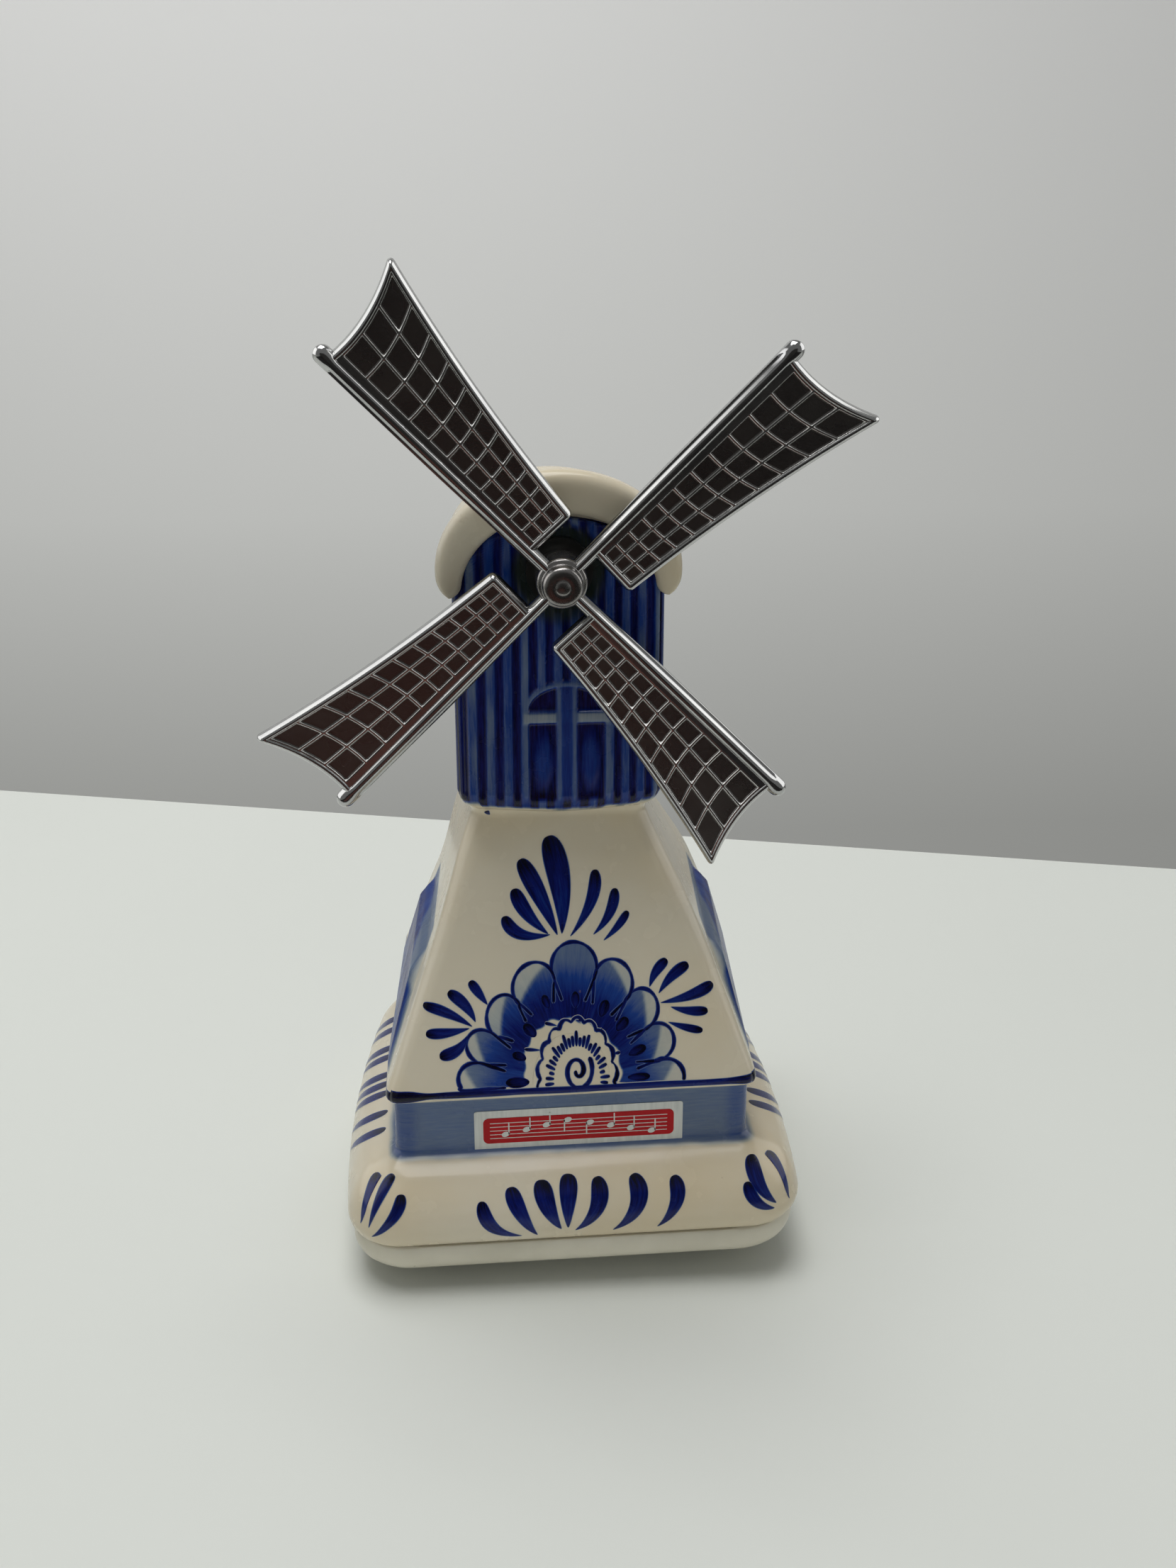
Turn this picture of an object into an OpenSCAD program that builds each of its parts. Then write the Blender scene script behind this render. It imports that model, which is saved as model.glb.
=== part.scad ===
// Musical windmill: a hollow glazed ceramic post mill that stands on a plastic bottom cover.
// A wind-up movement in the base plays its comb, and a vertical shaft turns the metal sails.
// Millimetres. +Z is up and the front faces -Y. The origin is the centre of the footprint on the
// surface that the feet stand on, and the sails turn about an axis along Y above it.

/* [Ceramic body] */
// Width and depth of the cushion-shaped base
base_w = 81.4; // [80:0.2:84]
// Width and depth of the plinth band between base and skirt
band_w = 63.7; // [62:0.1:64.5]
// Width and depth of the skirt at its lip
skirt_w = 65.2; // [65:0.1:67]
// Width and depth of the neck under the mill house
neck_w = 31; // [30.4:0.1:32]
// Width of the mill house
house_w = 35.4; // [34.6:0.1:36.4]
// Depth of the mill house, front to back
house_d = 40; // [39.6:0.1:42]
// Thickness of the fired ceramic wall
wall = 3.4; // [3.2:0.1:3.5]

/* [Heights above the surface it stands on] */
// Underside of the bottom cover, which is the height of the feet
foot_h = 4.2; // [4:0.1:5.5]
// Seam between the cover and the ceramic
seam_z = 10; // [9.8:0.1:10.4]
// Foot of the plinth band
band_z = 24.4; // [24:0.1:25]
// Lip of the skirt
lip_z = 36.7; // [36.2:0.1:37.2]
// Neck line at the top of the skirt
neck_z = 83; // [82:0.1:84]
// Bottom edge of the mill house
house_z = 88; // [87.4:0.1:88.6]
// Axis of the sails
hub_z = 128.4; // [128.2:0.1:128.6]

/* [Sails] */
// Distance from the axis to the centre of an arm's round end
sail_r = 52; // [48:0.5:53]
// Distance of the sail plane in front of the body's centre line
sail_y = 28; // [27.6:0.1:30]
// Rest angle of the first arm from horizontal
sail_turn = 45; // [0:5:85]

/* [Movement] */
// Distance of the mainspring barrel behind the centre line
barrel_y = 8; // [8:0.1:8.2]
// Number of notes on the comb
notes = 18; // [12:1:18]
// Pins on the cylinder for each note
pins_per_note = 4; // [2:1:5]

/* [Label] */
// Width of the foil label
label_w = 37.6; // [30:0.2:40]
// Height of the foil label
label_h = 8.2; // [7:0.1:8.6]
// Offset of the label to the right of centre
label_x = 2.3; // [-3:0.1:3]

/* [Hidden] */
$fn = 48;
eps = 0.01;
hull_fn = 32;        // circle resolution inside hulls
play = 0.05;         // radial clearance of a running fit

// Movement heights
recess_top_z = 10.2;                 // ceiling of the recess that the key turns in
recess_r = 17;                       // radius of that recess
bed_z = 12.4;                        // underside of the movement bed
bed_t = 2;
bed_top = bed_z + bed_t;
drum_z = 22;                         // axis of the music cylinder
barrel_r = 8.6;                      // outside of the barrel's cup
barrel_z = 16.8;                     // underside of the barrel
arbor_r = 1.5;
shaft_r = 1.2;                       // drive shaft and sail shaft
small_shaft_r = 0.8;                 // cylinder shaft
fine_shaft_r = 0.5;                  // governor shafts

// Lower gear pair: the barrel's face teeth drive the cylinder pinion
lower_m = 0.6;
barrel_teeth = 40;
drum_pinion_teeth = 10;
barrel_gear_r = lower_m * barrel_teeth / 2;
drum_pinion_r = lower_m * drum_pinion_teeth / 2;
drum_pinion_y = barrel_y - barrel_gear_r;
lower_pitch_z = drum_z + drum_pinion_r;

// Upper gear pair: the drive shaft's face teeth turn the sail pinion
upper_m = 0.6;
crown_teeth = 24;
sail_pinion_teeth = 8;
crown_r = upper_m * crown_teeth / 2;
sail_pinion_r = upper_m * sail_pinion_teeth / 2;
sail_pinion_y = barrel_y - crown_r;
upper_pitch_z = hub_z - sail_pinion_r;
face_w = 1.6;                        // face width of both face gears

// Governor train: cylinder gear, governor pinion, worm wheel and worm
gov_m = 0.5;
drum_gear_teeth = 28;
gov_pinion_teeth = 8;
worm_wheel_teeth = 18;
gov_dist = gov_m * (drum_gear_teeth + gov_pinion_teeth) / 2;
gov_angle = 153;                     // direction from the cylinder axis to the governor wheel
gov_x = gov_dist * cos(gov_angle);
gov_z = drum_z + gov_dist * sin(gov_angle);
worm_r = 1.5;                        // pitch radius of the worm
worm_lead = PI * gov_m;
worm_x = gov_x - gov_m * worm_wheel_teeth / 2 - worm_r;
worm_y = -23;
fan_z = 15.6;                        // underside of the fan
fan_h = 4.2;
gov_top_z = 32.4;

drum_y0 = -20;                       // front end of the pinned cylinder
drum_y1 = -6;                        // back end of the pinned cylinder
drum_r = 6.2;
comb_tip_x = drum_r + 0.75;
comb_t = 0.9;

// Mill house arch, drawn as an ellipse on straight sides
eave_z = 124.5;
roof_rise = 13.4;
rim_a = 20.6;                        // half width of the front rim
rim_b = 16.6;                        // rise of the front rim above its centre
rim_z = 128.5;
house_y0 = -house_d / 2 + 0.4;       // front face of the house
rim_y0 = house_y0 - 2.8;             // front of the rim

// ---------------------------------------------------------------- shared shapes

// A rectangle with round corners, centred
module rounded_rect(w, d, r) {
    square([w - 2 * r, d], center = true);
    square([w, d - 2 * r], center = true);
    for (sx = [-1, 1], sy = [-1, 1])
        translate([sx * (w / 2 - r), sy * (d / 2 - r)])
            circle(r);
}

module rounded_slab(w, d, r, z0, z1) {
    translate([0, 0, z0])
        linear_extrude(z1 - z0)
            rounded_rect(w, d, r);
}

// A cylinder along Y between two depths
module y_cylinder(r, y0, y1, x = 0, z = 0) {
    translate([x, y1, z])
        rotate([90, 0, 0])
            cylinder(r = r, h = y1 - y0);
}

// A flat shape drawn in X and Z, extruded between two depths
module y_extrude(y0, y1) {
    translate([0, y1, 0])
        rotate([90, 0, 0])
            linear_extrude(y1 - y0)
                children();
}

// Outline of the house from above: straight sides and an elliptical arch
function arch_points(half_w, z0, eave, rise) = concat(
    [[-half_w, z0], [half_w, z0]],
    [for (a = [0 : 7.5 : 180]) [half_w * cos(a), eave + rise * sin(a)]]);

// A bar with round ends between two points
module bar2d(p, q, w) {
    d = q - p;
    translate(p)
        rotate(atan2(d.y, d.x))
            translate([0, -w / 2])
                square([norm(d), w]);
    for (c = [p, q])
        translate(c)
            circle(w / 2);
}

// ---------------------------------------------------------------- gears

pressure = 20;
function involute(a) = tan(a) * 180 / PI - a;
// Half angle of a tooth at radius r, in degrees
function tooth_half(n, m, slack, r) =
    let (rp = n * m / 2, rb = rp * cos(pressure))
        (PI * m / 2 - slack) / 2 / rp * 180 / PI
        + involute(pressure) - involute(acos(min(1, rb / max(r, rb))));
function polar(r, a) = [r * cos(a), r * sin(a)];

// An involute spur gear outline with a tooth centred on the X axis
module gear2d(n, m, slack = 0.16) {
    rp = n * m / 2;
    rb = rp * cos(pressure);
    root = rp - 1.3 * m;
    tip = rp + 0.85 * m;
    radii = [root, max(root + eps, rb), (rb + tip) / 2, tip];
    polygon([for (k = [0 : n - 1])
        for (side = [-1, 1])
            for (i = [0 : 3])
                let (r = radii[side < 0 ? i : 3 - i])
                    polar(r, k * 360 / n + side * tooth_half(n, m, slack, r))]);
}

// A spur gear whose axis lies along Y, with a tooth centred on the direction tooth_at
module y_gear(n, m, y0, y1, x, z, tooth_at, bore, slack = 0.16) {
    translate([x, 0, z])
        y_extrude(y0, y1)
            difference() {
                rotate(tooth_at)
                    gear2d(n, m, slack);
                circle(bore);
            }
}

// The ring of face teeth of a crown gear, with a gap centred on -Y. up is 1 or -1.
module face_teeth(n, m, r, width, up) {
    t = PI * m / 2 - 0.3;
    add = 0.55 * m;
    ded = 1.35 * m;
    k = tan(pressure);
    for (i = [0 : n - 1])
        rotate(-90 + (i + 0.5) * 360 / n)
            translate([r - width / 2, 0, 0])
                rotate([90, 0, 90])
                    linear_extrude(width)
                        polygon([[-t / 2 - ded * k, -up * ded], [-t / 2 + add * k, up * add],
                            [t / 2 - add * k, up * add], [t / 2 + ded * k, -up * ded]]);
}

// ---------------------------------------------------------------- ceramic body

// The base's cushion: bulging sides and a shoulder that rises to the band
module cushion(w, r, z0, z1, top_w) {
    $fn = hull_fn;
    hull() {
        rounded_slab(w - 3, w - 3, r, z0, z0 + 0.5);
        rounded_slab(w, w, r + 1, z0 + 3.5, z0 + 6.5);
        rounded_slab(w - 4, w - 4, r, z0 + 10.4, z0 + 10.6);
        rounded_slab(top_w, top_w, 5, z1 - 0.2, z1);
    }
}

module skirt(w, z0, z1, top) {
    $fn = hull_fn;
    hull() {
        rounded_slab(w, w, 3, z0, z0 + 2.2);
        rounded_slab(top, top, 5, z1, z1 + 0.5);
    }
}

// A raised panel on a side of the skirt, with a sloping top like a dormer
module side_panel() {
    hull()
        for (y = [-1, 1]) {
            translate([skirt_w / 2 - 1.1, y * 24, lip_z + 1.8])
                sphere(r = 1, $fn = 16);
            translate([26.2, y * 15, 58])
                sphere(r = 1, $fn = 16);
            translate([20, y * 13, 63])
                sphere(r = 1, $fn = 16);
        }
}

module house_solid() {
    y_extrude(house_y0, house_d / 2)
        polygon(arch_points(house_w / 2, house_z, eave_z, roof_rise));
    hull() {
        $fn = hull_fn;
        rounded_slab(neck_w, neck_w, 5, neck_z - 0.4, neck_z);
        rounded_slab(house_w - 1, house_d - 1.4, 4, house_z - 0.4, house_z + 1);
    }
}

// The thick rolled edge that frames the front of the roof, and the roof's own eaves
module roof() {
    y_extrude(rim_y0, rim_y0 + 6.2)
        difference() {
            polygon(concat([for (a = [-14 : 7 : 194]) [rim_a * cos(a), rim_z + rim_b * sin(a)]]));
            polygon(arch_points(house_w / 2 - 1.6, rim_z - 12, eave_z, roof_rise - 0.6));
        }
    y_extrude(rim_y0 + 5, house_d / 2 + 0.8)
        difference() {
            polygon(arch_points(house_w / 2 + 1.1, eave_z - 0.4, eave_z, roof_rise));
            polygon(arch_points(house_w / 2 - 1, eave_z - 2, eave_z, roof_rise - 1.6));
        }
}

module body_cavity() {
    inner_base = base_w - 2 * wall;
    inner_skirt = skirt_w - 2 * wall;
    hull() {
        $fn = hull_fn;
        rounded_slab(inner_base - 3, inner_base - 3, 8, seam_z - 1, seam_z + 0.5);
        rounded_slab(inner_base, inner_base, 9, seam_z + 3.5, seam_z + 6);
        rounded_slab(inner_base - 6, inner_base - 6, 6, band_z - 3, band_z - 2.8);
    }
    rounded_slab(band_w - 2 * wall, band_w - 2 * wall, 2, band_z - 4, lip_z + 2);
    skirt(inner_skirt, lip_z + 1, neck_z + 1, neck_w - 2 * wall);
    rounded_slab(neck_w - 2 * wall, neck_w - 2 * wall, 3, neck_z - 1, house_z + wall + 1);
    y_extrude(house_y0 + wall, house_d / 2 - wall)
        polygon(arch_points(house_w / 2 - wall, house_z + wall, eave_z, roof_rise - wall));
}

module ceramic_body() {
    color("ivory")
        difference() {
            union() {
                cushion(base_w, 9, seam_z + 0.1, band_z, band_w + 3);
                rounded_slab(band_w, band_w, 2.5, band_z - 1, lip_z + 1);
                skirt(skirt_w, lip_z, neck_z, neck_w);
                for (side = [0, 1])
                    mirror([side, 0, 0])
                        side_panel();
                house_solid();
                roof();
            }
            body_cavity();
            y_cylinder(bushing_r + 0.2, rim_y0 - 1, house_y0 + wall + 1, 0, hub_z);
        }
}

module label() {
    color("silver")
        translate([label_x, 0, band_z + 0.1 + label_h / 2])
            y_extrude(-band_w / 2 - 0.2, -band_w / 2)
                rounded_rect(label_w, label_h, 0.5);
}

// ---------------------------------------------------------------- bottom cover and feet

foot_at = 24.5;
foot_r = 5.5;
screw_at = [[-17, 18.5], [17, 18.5], [15, -23.5]];

module bottom_cover() {
    outer = base_w - 1.8;
    boss_top = bed_z;
    color("ghostwhite")
        difference() {
            union() {
                hull() {
                    $fn = hull_fn;
                    rounded_slab(outer - 6, outer - 6, 7, foot_h, foot_h + 0.2);
                    rounded_slab(outer - 1.6, outer - 1.6, 9, foot_h + 1.2, foot_h + 1.4);
                    rounded_slab(outer, outer, 10, foot_h + 3, seam_z);
                }
                rounded_slab(base_w - 11, base_w - 11, 7, seam_z, seam_z + 3);
            }
            difference() {
                rounded_slab(base_w - 15, base_w - 15, 6, foot_h + 2, seam_z + 4);
                translate([0, barrel_y, 0])
                    cylinder(r = recess_r + 2, h = bed_z);
                for (p = screw_at)
                    translate([p.x, p.y, 0])
                        cylinder(r = 3, h = boss_top);
            }
            translate([0, barrel_y, 0])
                cylinder(r = recess_r, h = recess_top_z);
            translate([0, barrel_y, 0])
                cylinder(r = 3.6, h = bed_z + 1);
            for (p = screw_at)
                translate([p.x, p.y, 0])
                    cylinder(r = screw_r + 0.15, h = bed_z + 1);
        }
}

module rubber_feet() {
    color("dimgray")
        for (sx = [-1, 1], sy = [-1, 1])
            translate([sx * foot_at, sy * foot_at, 0])
                rotate_extrude()
                    polygon([[0, 0], [foot_r - 1.2, 0], [foot_r - 0.4, 0.8], [foot_r, foot_h],
                        [0, foot_h]]);
}

screw_r = 1.3;

// A pan-head screw that points up, with a cross recess in its head
module pan_screw(r, head_r, head_h, length) {
    difference() {
        union() {
            translate([0, 0, -head_h])
                cylinder(r1 = head_r * 0.8, r2 = head_r, h = head_h);
            cylinder(r = r, h = length);
        }
        for (a = [0, 90])
            rotate(a)
                translate([0, 0, -head_h])
                    cube([head_r * 1.1, head_r * 0.28, head_h], center = true);
    }
}

module cover_screws() {
    color("silver")
        for (p = screw_at)
            translate([p.x, p.y, foot_h])
                pan_screw(screw_r, 2.6, 1.5, bed_z - foot_h);
}

// ---------------------------------------------------------------- winding parts

module winding_key() {
    color("silver")
        translate([0, barrel_y, 0])
            difference() {
                union() {
                    translate([0, 0, 5])
                        cylinder(r = 2.9, h = 7);
                    translate([0, 0, 1])
                        cylinder(r = 2.4, h = 4.2);
                    for (side = [-1, 1])
                        y_extrude(-0.8, 0.8) {
                            translate([side * 6.6, 4.4])
                                circle(3.4);
                            bar2d([side * 2, 4.6], [side * 5.6, 4.4], 3.6);
                        }
                }
                for (side = [-1, 1])
                    y_extrude(-1, 1)
                        translate([side * 6.8, 4.4])
                            circle(1.5);
                translate([0, 0, 8])
                    cylinder(r = arbor_r, h = 5);
            }
}

module winding_arbor() {
    color("gainsboro")
        translate([0, barrel_y, 8])
            difference() {
                cylinder(r = arbor_r, h = lower_pitch_z + 0.9 - 8);
                // slot that holds the inner end of the mainspring
                translate([-0.2, 0, 10.8])
                    cube([0.4, 2, 5]);
            }
}

// Wrapped spring that lets the arbor turn one way only
module clutch_spring() {
    wire = 0.3;
    color("dimgray")
        translate([0, barrel_y, bed_top])
            rotate_extrude() {
                for (i = [0 : 2])
                    translate([arbor_r + play + wire, wire + i * 2 * wire])
                        circle(wire);
                translate([arbor_r + play + 0.1, 0])
                    square([2 * wire - 0.2, 5 * wire]);
            }
}

// ---------------------------------------------------------------- movement frame

module movement_bed() {
    color("goldenrod")
        difference() {
            union() {
                translate([-20, -27.5, bed_z])
                    cube([41, 50, bed_t]);
                // land for the comb
                translate([14.8, -21, bed_top - eps])
                    cube([6, 16, drum_z - bed_top + eps]);
                // front upright, with the bearings of the cylinder and the governor wheel
                y_extrude(-25.6, -24.4)
                    polygon([[3, bed_top - eps], [3, drum_z + 1.6], [-3, gov_z + 2.4],
                        [gov_x - 1.7, gov_z + 2.4], [gov_x - 1.7, bed_top - eps]]);
            }
            y_cylinder(small_shaft_r + play, -26, -24, 0, drum_z);
            y_cylinder(fine_shaft_r + play, -26, -24, gov_x, gov_z);
            translate([0, barrel_y, 0])
                cylinder(r = arbor_r + play, h = 30);
            translate([worm_x, worm_y, bed_z + 0.8])
                cylinder(r = fine_shaft_r + play, h = 3);
            for (p = screw_at)
                translate([p.x, p.y, bed_z - 1])
                    cylinder(r = screw_r, h = 4);
            for (y = comb_screw_y)
                translate([comb_screw_x, y, drum_z - 4])
                    cylinder(r = 0.8, h = 5);
            translate([bracket_x, bracket_y, bed_z - 1])
                cylinder(r = 0.8, h = 4);
            // lightening window under the cylinder
            rounded_window();
        }
}

module rounded_window() {
    translate([0, -14, bed_z - 1])
        linear_extrude(bed_t + 2)
            rounded_rect(12, 10, 2);
}

// Small upright under the barrel gear that carries the cylinder shaft's back end
module cylinder_bearing() {
    color("goldenrod")
        difference() {
            union() {
                translate([-2.2, -2.4, bed_top])
                    cube([4.4, 1.2, drum_z + 1.6 - bed_top]);
                translate([-6, -2.4, bed_top])
                    cube([12, 1.2, 2.6]);
            }
            y_cylinder(small_shaft_r + play, -3, -1, 0, drum_z);
        }
}

// ---------------------------------------------------------------- barrel and drive shaft

module spring_barrel() {
    color("silver")
        translate([0, barrel_y, 0])
            difference() {
                translate([0, 0, barrel_z])
                    cylinder(r = barrel_r, h = lower_pitch_z - 0.4 - barrel_z);
                translate([0, 0, barrel_z + 0.8])
                    cylinder(r = barrel_r - 0.8, h = 12);
                translate([0, 0, barrel_z - 1])
                    cylinder(r = arbor_r + play, h = 3);
            }
}

spring_turns = 5;
function coil(r0, r1, a) = polar(r0 + (r1 - r0) * a / (360 * spring_turns), a);

// Spiral mainspring, hooked on the arbor inside and on the barrel outside
module mainspring() {
    inner = arbor_r + 0.9;
    outer = barrel_r - 1.3;
    strip = 0.35;
    color("steelblue")
        translate([0, barrel_y, barrel_z + 1.3])
            linear_extrude(5.6)
                polygon(concat(
                    [for (a = [0 : 18 : 360 * spring_turns]) coil(inner, outer, a)],
                    [for (a = [360 * spring_turns : -18 : 0]) coil(inner + strip, outer + strip, a)]));
}

gear_disc_z = lower_pitch_z + 0.75;

// Barrel lid with the face teeth that drive the cylinder, and the socket of the drive shaft
module barrel_gear() {
    color("goldenrod")
        translate([0, barrel_y, 0])
            difference() {
                union() {
                    translate([0, 0, gear_disc_z])
                        cylinder(r = barrel_gear_r + face_w / 2 + 0.2, h = 1.3);
                    translate([0, 0, lower_pitch_z - 0.4])
                        cylinder(r = barrel_r, h = 1.5);
                    translate([0, 0, lower_pitch_z])
                        face_teeth(barrel_teeth, lower_m, barrel_gear_r, face_w, -1);
                    translate([0, 0, gear_disc_z + 1.2])
                        cylinder(r = 3.4, h = 3);
                }
                cylinder(r = arbor_r + play, h = lower_pitch_z + 1.2);
                translate([0, 0, coupling_z])
                    cylinder(r = 1.9, h = 5);
            }
}

coupling_z = gear_disc_z + 1.6;
coupling_top = coupling_z + 11;

// Brass sleeve that joins the barrel to the long drive shaft
module shaft_coupling() {
    color("gold")
        translate([0, barrel_y, coupling_z])
            difference() {
                union() {
                    cylinder(r = 1.9, h = 11);
                    translate([0, 0, 4])
                        cylinder(r = 2.6, h = 4);
                }
                translate([0, 0, 2])
                    cylinder(r = shaft_r, h = 12);
            }
}

module drive_shaft() {
    color("silver")
        translate([0, barrel_y, coupling_z + 2])
            cylinder(r = shaft_r, h = upper_pitch_z + 0.2 - coupling_z - 2);
}

crown_disc_z = upper_pitch_z - 0.8;

module drive_crown_gear() {
    color("ivory")
        translate([0, barrel_y, 0])
            difference() {
                union() {
                    translate([0, 0, crown_disc_z - 1.4])
                        cylinder(r = crown_r + face_w / 2, h = 1.4);
                    translate([0, 0, upper_pitch_z])
                        face_teeth(crown_teeth, upper_m, crown_r, face_w, 1);
                    translate([0, 0, arm_z + arm_t + 0.4])
                        cylinder(r = 2.8, h = crown_disc_z - 1 - arm_z - arm_t - 0.4);
                }
                translate([0, 0, arm_z])
                    cylinder(r = shaft_r, h = 20);
            }
}

// ---------------------------------------------------------------- sail bearings

arm_z = 116;                         // underside of the bracket's lower arm
arm_t = 1.2;
plate_t = 1.2;                       // sheet thickness of the gear bracket
bushing_r = 3.4;
bracket_front = house_y0 + wall;     // the bracket's plate lies on the inside of the front wall
rear_plate_y = sail_pinion_y + 2.8;

// Folded metal bracket with the drive shaft's top bearing and the sail shaft's rear bearing
module gear_bracket() {
    half_w = 7;
    cheek_z = hub_z - 1.4;
    cheek_h = 4.4;
    color("lightgray")
        difference() {
            union() {
                y_extrude(bracket_front, bracket_front + plate_t)
                    polygon(arch_points(half_w, arm_z, hub_z - 1.4, 6));
                translate([-5, bracket_front, arm_z])
                    cube([10, barrel_y + 4 - bracket_front, arm_t]);
                for (x = [-half_w, half_w - 1])
                    translate([x, bracket_front, cheek_z])
                        cube([1, rear_plate_y + plate_t - bracket_front, cheek_h]);
                translate([-half_w, rear_plate_y, cheek_z])
                    cube([2 * half_w, plate_t, cheek_h]);
            }
            y_cylinder(bushing_r + 0.1, bracket_front - 1, bracket_front + plate_t + 1, 0, hub_z);
            y_cylinder(shaft_r + play, rear_plate_y - 1, rear_plate_y + plate_t + 1, 0, hub_z);
            translate([0, barrel_y, arm_z - 1])
                cylinder(r = shaft_r + play, h = arm_t + 2);
        }
}

bushing_front = house_y0 - 1.6;
bushing_back = bracket_front + plate_t + 3.2;

module front_bushing() {
    color("black")
        difference() {
            union() {
                y_cylinder(5.6, bushing_front, house_y0, 0, hub_z);
                y_cylinder(bushing_r, bushing_front, bushing_back, 0, hub_z);
            }
            y_cylinder(shaft_r + play, bushing_front - 1, bushing_back + 1, 0, hub_z);
            // shallow dish in the face of the flange
            y_cylinder(3, bushing_front - 1, bushing_front + 0.5, 0, hub_z);
        }
}

module bushing_nut() {
    color("black")
        translate([0, 0, hub_z])
            y_extrude(bracket_front + plate_t, bracket_front + plate_t + 2.4)
                difference() {
                    circle(5.4, $fn = 6);
                    circle(bushing_r);
                }
}

// ---------------------------------------------------------------- sails

module sail_shaft() {
    color("silver")
        y_cylinder(shaft_r, -sail_y - 2.6, rear_plate_y + 2, 0, hub_z);
}

module sail_pinion() {
    color("ivory")
        y_gear(sail_pinion_teeth, upper_m, sail_pinion_y - 1, sail_pinion_y + 1, 0, hub_z, -90,
            shaft_r);
}

// Corners of one sail panel, along the arm and across it
panel_start = 0.15 * sail_r;
inner_corner = [0.142, 0.16] * sail_r;
tip_corner = [1.0227, 0.3259] * sail_r;
arm_end = [sail_r, 0];
bead = 2.2;                          // width of the bead round a panel
arm_w = 3;
cell_cols = 3;
cell_rows = 11;
rib_w = 0.55;
web_front = 0.5;                     // front of the thin web, ahead of the sail plane
web_back = 0.7;

// The tip edge curves in towards the hub between the arm's end and the tip corner
function tip_edge(t) =
    let (p = arm_end + [-2.4, 0.6], q = tip_corner)
        p + (q - p) * t + [-2.3, -0.4] * 4 * t * (1 - t);
function far_edge(t) = inner_corner + (tip_corner - inner_corner) * t + [0, -0.9] * 4 * t * (1 - t);
panel_points = concat(
    [[panel_start, 0]],
    [for (t = [0 : 0.2 : 1]) far_edge(t)],
    [for (t = [1 : -0.2 : 0]) tip_edge(t)]);

// The grid runs from the arm to the far edge, and its rows grow longer towards the tip
row_growth = 1.5;
function row_at(i) = let (t = i / cell_rows) t * (1 + (row_growth - 1) * t) / row_growth;
function grid_point(i, j) =
    let (t = row_at(i), s = j / cell_cols,
        near = [panel_start + 1.6 + (sail_r - 5 - panel_start - 1.6) * t, 1.5],
        far = far_edge(t) + [t < 0.5 ? 1.4 * (1 - 2 * t) : 0.2 - 1.6 * (t - 0.5), -1.6],
        sag = [-1.4, 0] * 4 * s * (1 - s) * t)
        near + (far - near) * s + sag;
function shrink(p, c) = p + (c - p) * min(0.45, 0.5 * rib_w * 1.4 / max(0.01, norm(c - p)));
function cell(i, j) =
    let (q = [grid_point(i, j), grid_point(i + 1, j), grid_point(i + 1, j + 1), grid_point(i, j + 1)],
        c = (q[0] + q[1] + q[2] + q[3]) / 4)
        [for (p = q) shrink(p, c)];

// One blade, drawn flat: x along the arm, y across it, z towards the viewer
module blade() {
    translate([0, 0, -web_back])
        linear_extrude(web_back + web_front)
            polygon(panel_points);
    linear_extrude(web_front + 0.45)
        difference() {
            polygon(panel_points);
            for (i = [0 : cell_rows - 1], j = [0 : cell_cols - 1])
                polygon(cell(i, j));
        }
    translate([0, 0, -web_back])
        linear_extrude(web_back + 1.2) {
            bar2d([panel_start, 0], inner_corner, bead * 0.9);
            bar2d(far_edge(0), far_edge(0.5), bead);
            bar2d(far_edge(0.5), far_edge(1), bead);
            bar2d(tip_edge(0), tip_edge(0.5), bead * 0.9);
            bar2d(tip_edge(0.5), tip_edge(1), bead * 0.9);
        }
    translate([0, 0, -web_back])
        linear_extrude(web_back + 1.6)
            bar2d([0, 0], arm_end, arm_w);
}

// One casting: four equal blades on a round hub. Each panel is on its arm's clockwise side.
module sail_cross() {
    color("silver")
        translate([0, -sail_y, hub_z])
            rotate([90, 0, 0])
                difference() {
                    union() {
                        for (a = [0 : 90 : 270])
                            rotate(a + sail_turn)
                                mirror([0, 1, 0])
                                    blade();
                        translate([0, 0, hub_back])
                            cylinder(r = 4.65, h = 1.7 - hub_back);
                        rotate_extrude()
                            polygon([[0, 1.6], [3.6, 1.6], [3.45, 2.6], [2.9, 3.4], [1.9, 3.9],
                                [1.8, 4.1], [0, 4.1]]);
                    }
                    translate([0, 0, hub_back - 1])
                        cylinder(r = shaft_r, h = 3.6 - hub_back);
                }
}

hub_back = 1.2 - bushing_front - sail_y;  // the hub's back face, just clear of the bushing

// ---------------------------------------------------------------- music cylinder and comb

module music_cylinder() {
    color("gold")
        difference() {
            union() {
                y_cylinder(drum_r, drum_y0, drum_y1, 0, drum_z);
                for (i = [0 : notes - 1], k = [0 : pins_per_note - 1])
                    translate([0, note_y(i), drum_z])
                        rotate([0, i * 47 + k * 360 / pins_per_note + 31 * (i % 3) + 20, 0])
                            translate([0, 0, drum_r - 0.3])
                                cylinder(r = 0.18, h = 0.75, $fn = 6);
            }
            y_cylinder(drum_r - 0.9, drum_y0 + 0.9, drum_y1 - 0.9, 0, drum_z);
            y_cylinder(small_shaft_r, drum_y0 - 1, drum_y1 + 1, 0, drum_z);
        }
}

comb_y0 = drum_y0 + 0.3;
comb_y1 = drum_y1 - 0.3;
note_pitch = (comb_y1 - comb_y0) / notes;
function note_y(i) = comb_y0 + (i + 0.5) * note_pitch;
comb_screw_x = 17.8;
comb_screw_y = [comb_y0 + 3, comb_y1 - 3];

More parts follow.
